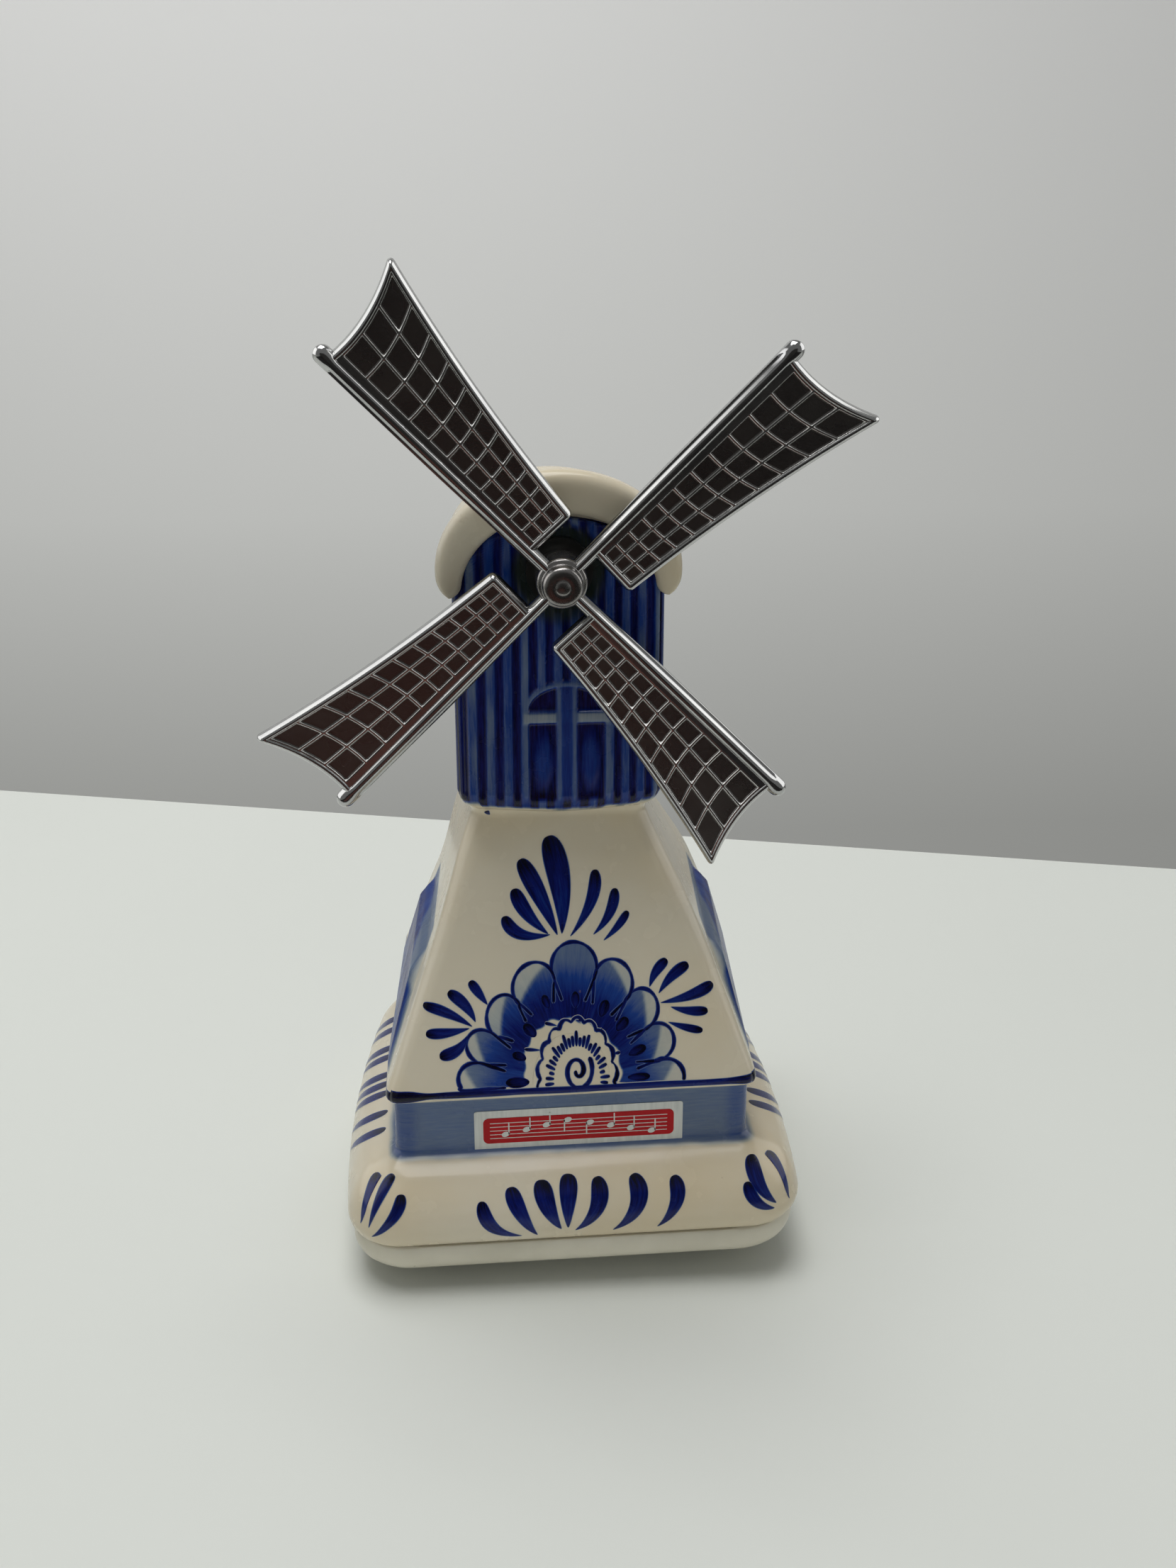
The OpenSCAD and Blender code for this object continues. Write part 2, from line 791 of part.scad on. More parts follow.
module comb() {
    root_x = 14;
    color("silver")
        difference() {
            translate([comb_tip_x, comb_y0, drum_z])
                cube([20.4 - comb_tip_x, comb_y1 - comb_y0, comb_t]);
            for (i = [1 : notes - 1])
                translate([comb_tip_x - 1, comb_y0 + i * note_pitch - 0.12, drum_z - 1])
                    cube([root_x - comb_tip_x + 1 - 2.6 * i / notes, 0.24, comb_t + 2]);
            for (y = comb_screw_y)
                translate([comb_screw_x, y, drum_z - 1])
                    cylinder(r = 1.0, h = 3);
        }
}

module comb_screws() {
    color("silver")
        for (y = comb_screw_y)
            translate([comb_screw_x, y, drum_z + comb_t])
                mirror([0, 0, 1])
                    pan_screw(0.8, 1.9, 1.1, 4);
}

module cylinder_shaft() {
    color("silver")
        y_cylinder(small_shaft_r, -26.2, -1, 0, drum_z);
}

module cylinder_pinion() {
    color("silver")
        y_gear(drum_pinion_teeth, lower_m, drum_pinion_y - 1, drum_pinion_y + 1, 0, drum_z, 90,
            small_shaft_r);
}

module cylinder_gear() {
    color("gold")
        y_gear(drum_gear_teeth, gov_m, -21.8, -20.8, 0, drum_z, gov_angle, small_shaft_r);
}

// ---------------------------------------------------------------- governor

bracket_x = -17.6;
bracket_y = -16;

// Bent strip that carries the worm's top bearing
module governor_bracket() {
    color("lightgray")
        difference() {
            union() {
                translate([-20, -18.6, bed_top])
                    cube([4.8, 5.4, 1]);
                translate([-20, -18.6, bed_top])
                    cube([4.8, 1, gov_top_z - bed_top]);
                translate([-20, -25, gov_top_z - 1])
                    cube([8, 7.4, 1]);
            }
            translate([worm_x, worm_y, gov_top_z - 2])
                cylinder(r = fine_shaft_r + play, h = 3);
            translate([bracket_x, bracket_y, bed_top - 1])
                cylinder(r = 1, h = 3);
        }
}

module governor_screw() {
    color("silver")
        translate([bracket_x, bracket_y, bed_top + 1])
            mirror([0, 0, 1])
                pan_screw(0.8, 1.7, 0.9, 2.8);
}

module governor_shaft() {
    color("silver")
        y_cylinder(fine_shaft_r, -26.2, -19.8, gov_x, gov_z);
}

// Pinion and worm wheel, moulded as one piece
module governor_wheel() {
    color("ivory") {
        y_gear(gov_pinion_teeth, gov_m, -22.2, -20.6, gov_x, gov_z,
            gov_angle + 180 + 180 / gov_pinion_teeth, fine_shaft_r, 0.12);
        y_gear(worm_wheel_teeth, gov_m, worm_y - 0.5, worm_y + 0.9, gov_x, gov_z, 180,
            fine_shaft_r, 0.3);
    }
}

// The worm: a straight shaft with one right-hand thread
module governor_worm() {
    turns = 3;
    color("silver")
        translate([worm_x, worm_y, 0]) {
            translate([0, 0, bed_z + 1.2])
                cylinder(r = fine_shaft_r, h = gov_top_z + 0.6 - bed_z - 1.2);
            translate([0, 0, gov_z - turns * worm_lead / 2])
                linear_extrude(turns * worm_lead, twist = -360 * turns, slices = 12 * turns)
                    translate([0.42, 0])
                        circle(worm_r - 0.1 - 0.42, $fn = 14);
        }
}

// Two-winged fan that slows the train by dragging on the air
module governor_fan() {
    color("gold")
        translate([worm_x, worm_y, fan_z])
            difference() {
                union() {
                    cylinder(r = 1.1, h = fan_h);
                    translate([-3.9, -0.2, 0.6])
                        cube([7.8, 0.4, fan_h - 0.6]);
                }
                translate([0, 0, -1])
                    cylinder(r = fine_shaft_r, h = fan_h + 2);
            }
}

ceramic_body();
label();
bottom_cover();
rubber_feet();
cover_screws();
winding_key();
winding_arbor();
clutch_spring();
movement_bed();
spring_barrel();
mainspring();
barrel_gear();
shaft_coupling();
drive_shaft();
drive_crown_gear();
gear_bracket();
front_bushing();
bushing_nut();
sail_shaft();
sail_pinion();
sail_cross();
music_cylinder();
cylinder_shaft();
cylinder_pinion();
cylinder_gear();
cylinder_bearing();
comb();
comb_screws();
governor_bracket();
governor_screw();
governor_shaft();
governor_wheel();
governor_worm();
governor_fan();
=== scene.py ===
"""Looks of the musical windmill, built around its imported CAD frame.

Shapes are worked out in millimetres in the CAD frame (the front faces -Y, Z is up, the origin is the
centre of the footprint on the table) and become metres when a mesh is made.
"""

import math

import bmesh
import bpy
import numpy as np
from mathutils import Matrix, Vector


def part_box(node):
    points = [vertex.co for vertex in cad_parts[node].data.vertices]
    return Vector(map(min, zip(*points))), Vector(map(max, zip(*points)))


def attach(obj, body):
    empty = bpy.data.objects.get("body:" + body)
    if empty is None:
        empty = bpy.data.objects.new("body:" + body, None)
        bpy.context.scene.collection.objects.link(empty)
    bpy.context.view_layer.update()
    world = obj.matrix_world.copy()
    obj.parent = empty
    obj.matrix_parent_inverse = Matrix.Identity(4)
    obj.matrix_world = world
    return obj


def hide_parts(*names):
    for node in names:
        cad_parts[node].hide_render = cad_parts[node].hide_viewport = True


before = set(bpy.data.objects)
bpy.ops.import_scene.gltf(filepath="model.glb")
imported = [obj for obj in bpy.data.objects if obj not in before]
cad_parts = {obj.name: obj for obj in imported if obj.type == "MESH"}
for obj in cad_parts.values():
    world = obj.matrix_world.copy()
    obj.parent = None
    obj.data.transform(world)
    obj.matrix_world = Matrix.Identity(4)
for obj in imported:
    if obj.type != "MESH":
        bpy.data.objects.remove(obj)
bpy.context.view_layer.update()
MM = 0.001


def cad_box(node):
    """The lowest and highest corners of a CAD node, in millimetres."""
    low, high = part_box(node)
    return np.array(low) / MM, np.array(high) / MM


# ---------------------------------------------------------------- dimensions

BODY_LOW, BODY_HIGH = cad_box("ceramic_body")
LABEL_LOW, LABEL_HIGH = cad_box("label")
BUSHING_LOW, BUSHING_HIGH = cad_box("front_bushing")
COVER_LOW, COVER_HIGH = cad_box("bottom_cover")

WALL = 3.4
BASE_HALF = (BODY_HIGH[0] - BODY_LOW[0]) / 2
SEAM_Z = BODY_LOW[2]
BAND_HALF = -LABEL_HIGH[1]
BAND_Z = 24.4
LIP_HALF = BAND_HALF + 1.3
LIP_Z = 35.9
NECK_HALF = 15.5
NECK_Z = 83.0
HOUSE_HALF = 17.7
HOUSE_Z = 88.0
HOUSE_FRONT = BUSHING_LOW[1] + 1.6
HOUSE_BACK = 20.0
EAVE_Z = 124.5
ROOF_RISE = 13.4
RIM_FRONT = HOUSE_FRONT - 2.8
RIM_DEPTH = 6.2
RIM_HALF, RIM_RISE, RIM_Z = 20.6, 16.6, 128.5
HUB_Z = (BUSHING_LOW[2] + BUSHING_HIGH[2]) / 2
SAIL_Y = -28.0
SAIL_R = 52.0


# ---------------------------------------------------------------- numbers and grids

def smooth(a, b, x):
    """0 below a, 1 above b and a smooth step between them."""
    t = np.clip((np.asarray(x, float) - a) / (b - a), 0, 1)
    return t * t * (3 - 2 * t)


def mix(a, b, t):
    return a + (b - a) * t


def noise(x, y, seed=0):
    """Smooth repeatable noise from -1 to 1, from a few sine waves with unrelated wavelengths."""
    total = np.zeros(np.broadcast(x, y).shape)
    for k in range(1, 5):
        turn = 2.4 * k + seed * 1.7
        total += np.sin(k * (x * math.cos(turn) + y * math.sin(turn)) * 1.31 + turn * 3) / k
    return total / 2.1


def along_side(across, straight, radius):
    """A rounded square's side: place along it, drop towards its corners and turning angle, by distance
    from the side's middle."""
    turn = np.clip((np.abs(across) - straight) / radius, 0, math.pi / 4) * np.sign(across)
    return np.clip(across, -straight, straight) + radius * np.sin(turn), radius * (1 - np.cos(turn)), turn


def quarter_turns(x, y, side):
    """Points of the front side turned to another side, which is counted in quarter turns."""
    c, s = np.cos(side * math.pi / 2), np.sin(side * math.pi / 2)
    return x * c - y * s, x * s + y * c


def square_ring(half, radius, z, side, share):
    """A rounded square ring at a height, with one point for each column."""
    straight = half - radius
    x, drop, _ = along_side(share * (straight + radius * math.pi / 4), straight, radius)
    x, y = quarter_turns(x, drop - half, side)
    return np.stack([x, y, 0 * x + z], -1)


def grid_faces(rows, cols, wrap_rows=False, wrap_cols=False):
    """Quads of a grid of points numbered row by row."""
    r = np.arange(rows if wrap_rows else rows - 1)[:, None]
    c = np.arange(cols if wrap_cols else cols - 1)[None, :]
    r1, c1 = (r + 1) % rows, (c + 1) % cols
    quads = np.stack(np.broadcast_arrays(r * cols + c, r * cols + c1, r1 * cols + c1, r1 * cols + c), -1)
    return quads.reshape(-1, 4).tolist()


def plate_faces(rows, cols):
    """Faces of a closed plate: a front grid, a back grid numbered after it, and the strip round both."""
    n = rows * cols
    front = grid_faces(rows, cols)
    back = [[v + n for v in reversed(f)] for f in front]
    edge = (list(range(cols)) + [r * cols + cols - 1 for r in range(1, rows)]
            + [(rows - 1) * cols + c for c in range(cols - 2, -1, -1)]
            + [r * cols for r in range(rows - 2, 0, -1)])
    strip = [[edge[i - 1], edge[i - 1] + n, edge[i] + n, edge[i]] for i in range(len(edge))]
    return front + back + strip


class Shape:
    """Points, faces and per-point values that grow part by part and become one mesh object."""

    def __init__(self):
        self.points, self.faces, self.values = [], [], {}
        self.count = 0

    def add(self, points, faces, **values):
        points = np.asarray(points, float).reshape(-1, 3)
        self.faces += [[v + self.count for v in f] for f in faces]
        for name in sorted({*self.values, *values}):
            width = 3 if name == "brush" else 1
            given = np.broadcast_to(np.asarray(values.get(name, 0.0), float).reshape(-1, width),
                                    (len(points), width))
            self.values.setdefault(name, [np.zeros((self.count, width))]).append(given)
        self.points.append(points)
        self.count += len(points)

    def build(self, name, material, body, smooth_angle=None):
        mesh = bpy.data.meshes.new(name)
        mesh.from_pydata((np.concatenate(self.points) * MM).tolist(), [], self.faces)
        mesh.validate()
        whole = bmesh.new()
        whole.from_mesh(mesh)
        bmesh.ops.recalc_face_normals(whole, faces=whole.faces)
        whole.to_mesh(mesh)
        whole.free()
        for key, parts in self.values.items():
            kind, field = ("FLOAT_VECTOR", "vector") if key == "brush" else ("FLOAT", "value")
            attribute = mesh.attributes.new(key, kind, "POINT")
            attribute.data.foreach_set(field, np.concatenate(parts).astype(np.float32).ravel())
        mesh.polygons.foreach_set("use_smooth", [True] * len(mesh.polygons))
        obj = bpy.data.objects.new(name, mesh)
        bpy.context.scene.collection.objects.link(obj)
        mesh.materials.append(material)
        if smooth_angle:
            mesh.set_sharp_from_angle(angle=math.radians(smooth_angle))
        if body:
            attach(obj, body)
        return obj


# ---------------------------------------------------------------- materials

class Nodes:
    """Short calls for building a material's node tree."""

    def __init__(self, name):
        self.material = bpy.data.materials.new(name)
        self.material.use_nodes = True
        self.tree = self.material.node_tree
        self.shader = self.tree.nodes["Principled BSDF"]
        self.object = self.node("ShaderNodeTexCoord").outputs["Object"]

    def node(self, kind, inputs=None, **settings):
        made = self.tree.nodes.new(kind)
        for key, value in settings.items():
            setattr(made, key, value)
        for key, value in (inputs or {}).items():
            self.put(made.inputs[key], value)
        return made

    def put(self, socket, value):
        if isinstance(value, bpy.types.NodeSocket):
            self.tree.links.new(value, socket)
        else:
            socket.default_value = value

    def set(self, **inputs):
        for key, value in inputs.items():
            self.put(self.shader.inputs[key.replace("_", " ")], value)

    def math(self, kind, a, b=0.5, clamp=False):
        return self.node("ShaderNodeMath", {0: a, 1: b}, operation=kind, use_clamp=clamp).outputs[0]

    def scale(self, vector, factors):
        return self.node("ShaderNodeVectorMath", {0: vector, 1: factors}, operation="MULTIPLY").outputs[0]

    def noise(self, scale, detail=3.0, rough=0.55, vector=None):
        inputs = {"Vector": vector or self.object, "Scale": scale, "Detail": detail, "Roughness": rough}
        return self.node("ShaderNodeTexNoise", inputs).outputs["Fac"]

    def range(self, value, low, high, to_low=0.0, to_high=1.0):
        inputs = {"Value": value, "From Min": low, "From Max": high, "To Min": to_low, "To Max": to_high}
        return self.node("ShaderNodeMapRange", inputs).outputs["Result"]

    def ramp(self, value, stops):
        made = self.node("ShaderNodeValToRGB", {"Fac": value})
        elements = made.color_ramp.elements
        while len(elements) < len(stops):
            elements.new(0.5)
        for element, (at, colour) in zip(elements, stops):
            element.position = at
            element.color = (*colour, 1)
        return made.outputs["Color"]

    def mix(self, factor, a, b, blend="MIX"):
        made = self.node("ShaderNodeMix", data_type="RGBA", blend_type=blend)
        self.put(made.inputs[0], factor)
        self.put(made.inputs[6], a)
        self.put(made.inputs[7], b)
        return made.outputs[2]

    def bump(self, height, strength, distance):
        inputs = {"Height": height, "Strength": strength, "Distance": distance}
        return self.node("ShaderNodeBump", inputs).outputs["Normal"]

    def attribute(self, name, output="Fac"):
        return self.node("ShaderNodeAttribute", attribute_name=name).outputs[output]


def srgb(r, g, b):
    """A linear colour from 8-bit display values."""
    return tuple(((v / 255 + 0.055) / 1.055) ** 2.4 if v > 10 else v / 255 / 12.92 for v in (r, g, b))


def glaze_material():
    """Cream tin glaze over cobalt painting. Point values say how much pigment lies where:
    pigment 0 is bare glaze and 1 a full load of the brush, and brush is the place along its stroke.
    Where dull is 1 the glaze is thin and has little shine."""
    n = Nodes("delft_glaze")
    brush = n.attribute("brush", "Vector")
    streak = n.noise(1.0, 3.0, 0.6, n.scale(brush, (0.22, 2.6, 1.0)))
    fine = n.noise(1.0, 2.0, 0.6, n.scale(brush, (0.5, 9.0, 1.0)))
    cloud = n.noise(160.0, 3.0)
    uneven = n.math("ADD", n.range(streak, 0.3, 0.7, 0.9, 1.1), n.range(fine, 0.3, 0.7, -0.03, 0.03))
    load = n.math("MULTIPLY", n.attribute("pigment"), uneven, clamp=True)
    blue = n.ramp(load, [
        (0.0, srgb(214, 205, 184)),
        (0.14, srgb(166, 171, 168)),
        (0.34, srgb(96, 113, 140)),
        (0.58, srgb(22, 58, 132)),
        (0.8, srgb(3, 20, 98)),
        (0.92, srgb(1, 6, 62)),
        (1.0, srgb(2, 3, 26)),
    ])
    patches = n.range(n.noise(22.0, 4.0), 0.42, 0.7)
    warm = n.mix(patches, srgb(255, 255, 255) + (1,), srgb(250, 242, 226) + (1,))
    tinted = n.mix(1.0, blue, warm, "MULTIPLY")
    blots = n.range(n.noise(75.0, 5.0, 0.7), 0.66, 0.8)
    stain = n.math("MULTIPLY", blots, n.attribute("stain"), clamp=True)
    stained = n.mix(n.math("MULTIPLY", stain, 0.65), tinted, srgb(150, 120, 78) + (1,))
    smear = n.mix(n.attribute("smear"), stained, srgb(38, 48, 40) + (1,))
    speck = n.range(n.noise(420.0, 1.0), 0.82, 0.85)
    n.set(Base_Color=n.mix(n.math("MULTIPLY", speck, 0.35), smear, srgb(120, 100, 74) + (1,)))
    dull = n.attribute("dull")
    n.set(Roughness=n.range(cloud, 0.3, 0.7, 0.2, 0.3), IOR=1.34)
    n.set(Specular_IOR_Level=n.range(dull, 0.0, 1.0, 0.5, 0.06))
    n.set(Coat_Weight=n.range(dull, 0.0, 1.0, 0.14, 0.0), Coat_Roughness=0.08)
    n.set(Subsurface_Weight=0.08, Subsurface_Scale=0.002)
    n.set(Subsurface_Radius=(1.0, 0.8, 0.6))
    n.set(Normal=n.bump(n.noise(70.0, 2.0, 0.4), 0.2, 0.0009))
    return n.material


def chrome_material():
    """Chromium-plated casting: grainy where grain is 1, with a painted highlight along the rib tops."""
    n = Nodes("sail_chrome")
    grain = n.attribute("grain")
    sand = n.noise(2600.0, 2.0, 0.6)
    cloud = n.noise(120.0, 3.0)
    tone = n.ramp(cloud, [(0.3, srgb(176, 176, 177)), (0.7, srgb(194, 194, 193))])
    n.set(Metallic=1.0)
    sandy = n.mix(n.math("MULTIPLY", grain, 0.8), tone, srgb(124, 119, 116) + (1,))
    # painted highlight: the rib tops between the cells are given a near-white colour
    n.set(Base_Color=n.mix(n.attribute("rib"), sandy, srgb(250, 250, 248) + (1,)))
    n.set(Roughness=n.math("ADD", n.range(cloud, 0.3, 0.7, 0.1, 0.17), n.math("MULTIPLY", grain, 0.14)))
    n.set(Normal=n.bump(sand, n.math("MULTIPLY", grain, 0.35), 0.00008))
    return n.material


def metal_material(name, dark, light, rough=0.3, grain=300.0, stretch=(1, 1, 1)):
    """Plain metal with slightly uneven polish."""
    n = Nodes(name)
    cloud = n.noise(grain, 3.0, 0.6, n.scale(n.object, stretch))
    n.set(Metallic=1.0, Base_Color=n.ramp(cloud, [(0.3, dark), (0.7, light)]))
    n.set(Roughness=n.range(cloud, 0.3, 0.7, rough * 0.75, rough * 1.25))
    n.set(Normal=n.bump(n.noise(grain * 4, 2.0), 0.1, 0.00005))
    return n.material


def plastic_material(name, dark, light, rough=0.4, soft=0.0, bump=0.08):
    """Moulded plastic or rubber with a faint mottle. soft lets some light through."""
    n = Nodes(name)
    cloud = n.noise(90.0, 4.0)
    n.set(Base_Color=n.ramp(cloud, [(0.3, dark), (0.7, light)]))
    n.set(Roughness=n.range(n.noise(240.0, 3.0), 0.3, 0.7, rough * 0.8, rough * 1.2))
    n.set(Normal=n.bump(n.noise(900.0, 2.0), bump, 0.0001))
    if soft:
        n.set(Subsurface_Weight=soft, Subsurface_Scale=0.004, Subsurface_Radius=(1.0, 0.95, 0.85))
    return n.material


GLAZE = glaze_material()
CHROME = chrome_material()


# ---------------------------------------------------------------- lower ceramic body

def profile_points():
    """Half width and height of the lower body's outside, from the seam up into the house."""
    cushion = [(BASE_HALF - 1.6, SEAM_Z), (BASE_HALF - 0.9, SEAM_Z + 0.7), (BASE_HALF - 0.3, SEAM_Z + 2.0),
               (BASE_HALF, SEAM_Z + 3.8), (BASE_HALF - 0.4, SEAM_Z + 6.0), (BASE_HALF - 1.2, SEAM_Z + 8.1),
               (BASE_HALF - 2.5, SEAM_Z + 10.1), (BASE_HALF - 4.2, SEAM_Z + 11.9),
               (BASE_HALF - 6.1, SEAM_Z + 13.2), (BAND_HALF + 0.9, BAND_Z - 0.1), (BAND_HALF, BAND_Z + 0.7)]
    band = [(BAND_HALF, z) for z in np.linspace(BAND_Z + 1.4, LIP_Z - 0.9, 10)]
    lip = [(BAND_HALF + 0.1, LIP_Z - 0.4), (LIP_HALF - 0.25, LIP_Z - 0.05), (LIP_HALF, LIP_Z + 0.7),
           (LIP_HALF - 0.1, LIP_Z + 1.6)]
    lean = (LIP_HALF - 0.35 - NECK_HALF) / (NECK_Z - LIP_Z - 2.4)
    skirt = [(NECK_HALF + lean * (NECK_Z - z) + 0.4 * math.sin(math.pi * (NECK_Z - z) / 45), z)
             for z in np.linspace(LIP_Z + 2.6, NECK_Z - 1.4, 16)]
    neck = [(NECK_HALF + 0.15, NECK_Z - 0.3), (NECK_HALF + 0.2, NECK_Z + 0.6),
            (NECK_HALF + 0.7, NECK_Z + 1.6), (NECK_HALF + 1.5, NECK_Z + 2.7),
            (HOUSE_HALF - 0.6, HOUSE_Z - 1.2)]
    return np.array(cushion + band + lip + skirt + neck)


def resample(points, step):
    """Even steps along a smooth curve through the points."""
    ends = np.vstack([2 * points[0] - points[1], points, 2 * points[-1] - points[-2]])
    dense = []
    for p0, p1, p2, p3 in zip(ends, ends[1:], ends[2:], ends[3:]):
        for t in np.linspace(0, 1, 12, endpoint=False):
            dense.append(0.5 * (2 * p1 + (p2 - p0) * t + (2 * p0 - 5 * p1 + 4 * p2 - p3) * t * t
                                + (3 * p1 - p0 - 3 * p2 + p3) * t ** 3))
    dense = np.array(dense + [points[-1]])
    length = np.concatenate([[0], np.cumsum(np.linalg.norm(np.diff(dense, axis=0), axis=1))])
    at = np.linspace(0, length[-1], int(length[-1] / step) + 1)
    return at, np.stack([np.interp(at, length, dense[:, k]) for k in (0, 1)], -1)


RUN, PROFILE = resample(profile_points(), 0.4)
CORNER_AT = np.array([SEAM_Z, SEAM_Z + 5, BAND_Z - 2.5, BAND_Z, LIP_Z - 1, LIP_Z, NECK_Z, HOUSE_Z])
LIP_CORNER = 2.4
CORNER_R = np.array([8.0, 9.2, 7.0, 2.2, 2.2, LIP_CORNER, 3.6, 3.0])


def run_at(z):
    """Distance up the profile to a height on the skirt or the cushion's side."""
    return np.interp(z, PROFILE[:, 1], RUN)


PANEL_FOOT, PANEL_TOP, PANEL_RIDGE = (LIP_HALF - 0.1, 38.6), (28.5, 55.0), (22.0, 60.8)
PANEL_REACH = [24.6, 17.2, 14.4]
PANEL_BEVEL = 2.4


def panel_mask(y, z):
    """1 on the raised panel of a skirt side, which narrows upwards, and 0 off it."""
    reach = np.interp(z, [PANEL_FOOT[1], PANEL_TOP[1], PANEL_RIDGE[1]], PANEL_REACH)
    bevel = np.clip((reach - np.abs(y)) / PANEL_BEVEL + 0.5, 0, 1)
    return (bevel * smooth(PANEL_FOOT[1] - 2.5, PANEL_FOOT[1], z)
            * smooth(PANEL_RIDGE[1] + 1, PANEL_RIDGE[1], z))


def panel_width(z):
    """Half width of the body across its side panels at a height, and 0 above them."""
    heights = [PANEL_FOOT[1], PANEL_TOP[1] - 1.2, PANEL_TOP[1] + 1.2, PANEL_RIDGE[1]]
    widths = [PANEL_FOOT[0], PANEL_TOP[0] + 0.3, PANEL_TOP[0] - 1.3, PANEL_RIDGE[0]]
    return np.interp(z, heights, widths) * (z < PANEL_RIDGE[1])


SKIRT_SHIFT, CUSHION_SHIFT, BACK_LEAN = 1.15, 0.35, 0.04
LEVEL_CLIMB = 0.02
SWELL, SWELL_FALL, SWELL_Y = 0.03, 0.000044, -13


def on_cushion(z):
    """1 on the cushion and 0 on the band and above it."""
    return smooth(BAND_Z + 0.5, BAND_Z - 5, z)


def lean_at(z):
    """How far the casting's middle stands to the right of the sails' shaft at a height."""
    return SKIRT_SHIFT * smooth(NECK_Z, 60, z) + CUSHION_SHIFT * on_cushion(z)


def tilt_at(z):
    """How steeply the casting's level lines climb to the right at a height."""
    return LEVEL_CLIMB * smooth(NECK_Z, 50, z)


def settle(points):
    """The casting is not quite square or level. It stands a little to the right, its level lines climb
    to the right and the back of its skirt leans to the right. Its cushion swells beside the front and
    narrows towards the back."""
    x, y, z = (points[..., k] for k in range(3))
    swell = on_cushion(z) * (SWELL - SWELL_FALL * (y - SWELL_Y) ** 2)
    back = BACK_LEAN * np.maximum(y + 20, 0) * smooth(NECK_Z - 3, 58, z) * (1 - on_cushion(z))
    return np.stack([x * (1 + swell) + lean_at(z) + back, y, z + tilt_at(z) * x], -1)


def body_point(side, across, run, lift=0.0):
    """Points on the lower body. side counts quarter turns from the front, across is the distance
    from the middle of that side, run the distance up the profile and lift the height off it."""
    side, across, run = np.broadcast_arrays(side, np.asarray(across, float), np.asarray(run, float))
    half = np.interp(run, RUN, PROFILE[:, 0])
    z = np.interp(run, RUN, PROFILE[:, 1])
    slope = np.gradient(PROFILE, axis=0)
    slope /= np.linalg.norm(slope, axis=1)[:, None]
    out_w, out_z = (np.interp(run, RUN, s) for s in (slope[:, 1], -slope[:, 0]))
    radius = np.interp(z, CORNER_AT, CORNER_R)
    straight = half - radius
    x, drop, turn = along_side(across, straight, radius)
    x = x + lift * out_w * np.sin(turn)
    y = drop - half - lift * out_w * np.cos(turn)
    z = z + lift * out_z
    raised = np.maximum(panel_width(z) + y, 0) * panel_mask(x, z) * (side % 2)
    y = y - raised * (np.abs(across) <= straight)
    x, y = quarter_turns(x, y, side)
    return settle(np.stack([x, y, z], -1))


def side_columns(counts):
    """The columns of a four-sided loft: the side that each is on, and its share of the way across."""
    share = np.concatenate([np.linspace(-1, 1, count, endpoint=False) for count in counts])
    return np.repeat(np.arange(4), counts), share


def lower_body():
    """The cushion base, band, skirt and neck as one hollow loft, with its washes of blue."""
    side, share = side_columns([150, 110, 110, 110])
    half = PROFILE[:, 0]
    radius = np.interp(PROFILE[:, 1], CORNER_AT, CORNER_R)
    reach = half - radius + radius * math.pi / 4
    across = share[None, :] * reach[:, None]
    points = body_point(side[None, :], across, RUN[:, None])
    z = np.broadcast_to(PROFILE[:, 1][:, None], across.shape)
    pigment = wash(side[None, :], across, z)
    brush = np.stack([across, z, side[None, :] * 7.0 + 0 * across], -1)
    wings = (side[None, :] % 2 == 1) & (z > LIP_Z)
    brush = np.where(wings[..., None], brush[..., [1, 0, 2]], brush)
    stain = smooth(BAND_Z + 1, BAND_Z - 2, z) * 0.8 + smooth(74, 80, z) * smooth(0, -12, across) + 0.25
    dull = panel_mask(across * 0.97, z) * (side[None, :] % 2)
    inside = [(HOUSE_HALF - 0.6, HOUSE_Z - 1.2), (NECK_HALF, NECK_Z), (LIP_HALF - 0.4, LIP_Z + 2.5),
              (BAND_HALF, LIP_Z - 1), (BAND_HALF, BAND_Z - 1), (BASE_HALF - 2.2, BAND_Z - 3.6),
              (BASE_HALF, SEAM_Z + 5.5), (BASE_HALF - 1.6, SEAM_Z)]
    inner = [settle(square_ring(outside - WALL, np.interp(z, CORNER_AT, CORNER_R) * 0.7, z, side, share))
             for outside, z in inside]
    rings = np.concatenate([points, np.array(inner)])
    bare = np.zeros((len(inner), len(side)))
    values = {name: np.concatenate([value, bare]).ravel()
              for name, value in (("pigment", pigment), ("stain", stain), ("dull", dull))}
    brush = np.concatenate([brush, np.zeros((*bare.shape, 3))]).reshape(-1, 3)
    shape = Shape()
    shape.add(rings, grid_faces(*rings.shape[:2], wrap_rows=True, wrap_cols=True), brush=brush, **values)
    return shape.build("ceramic_lower_body", GLAZE, "mill")


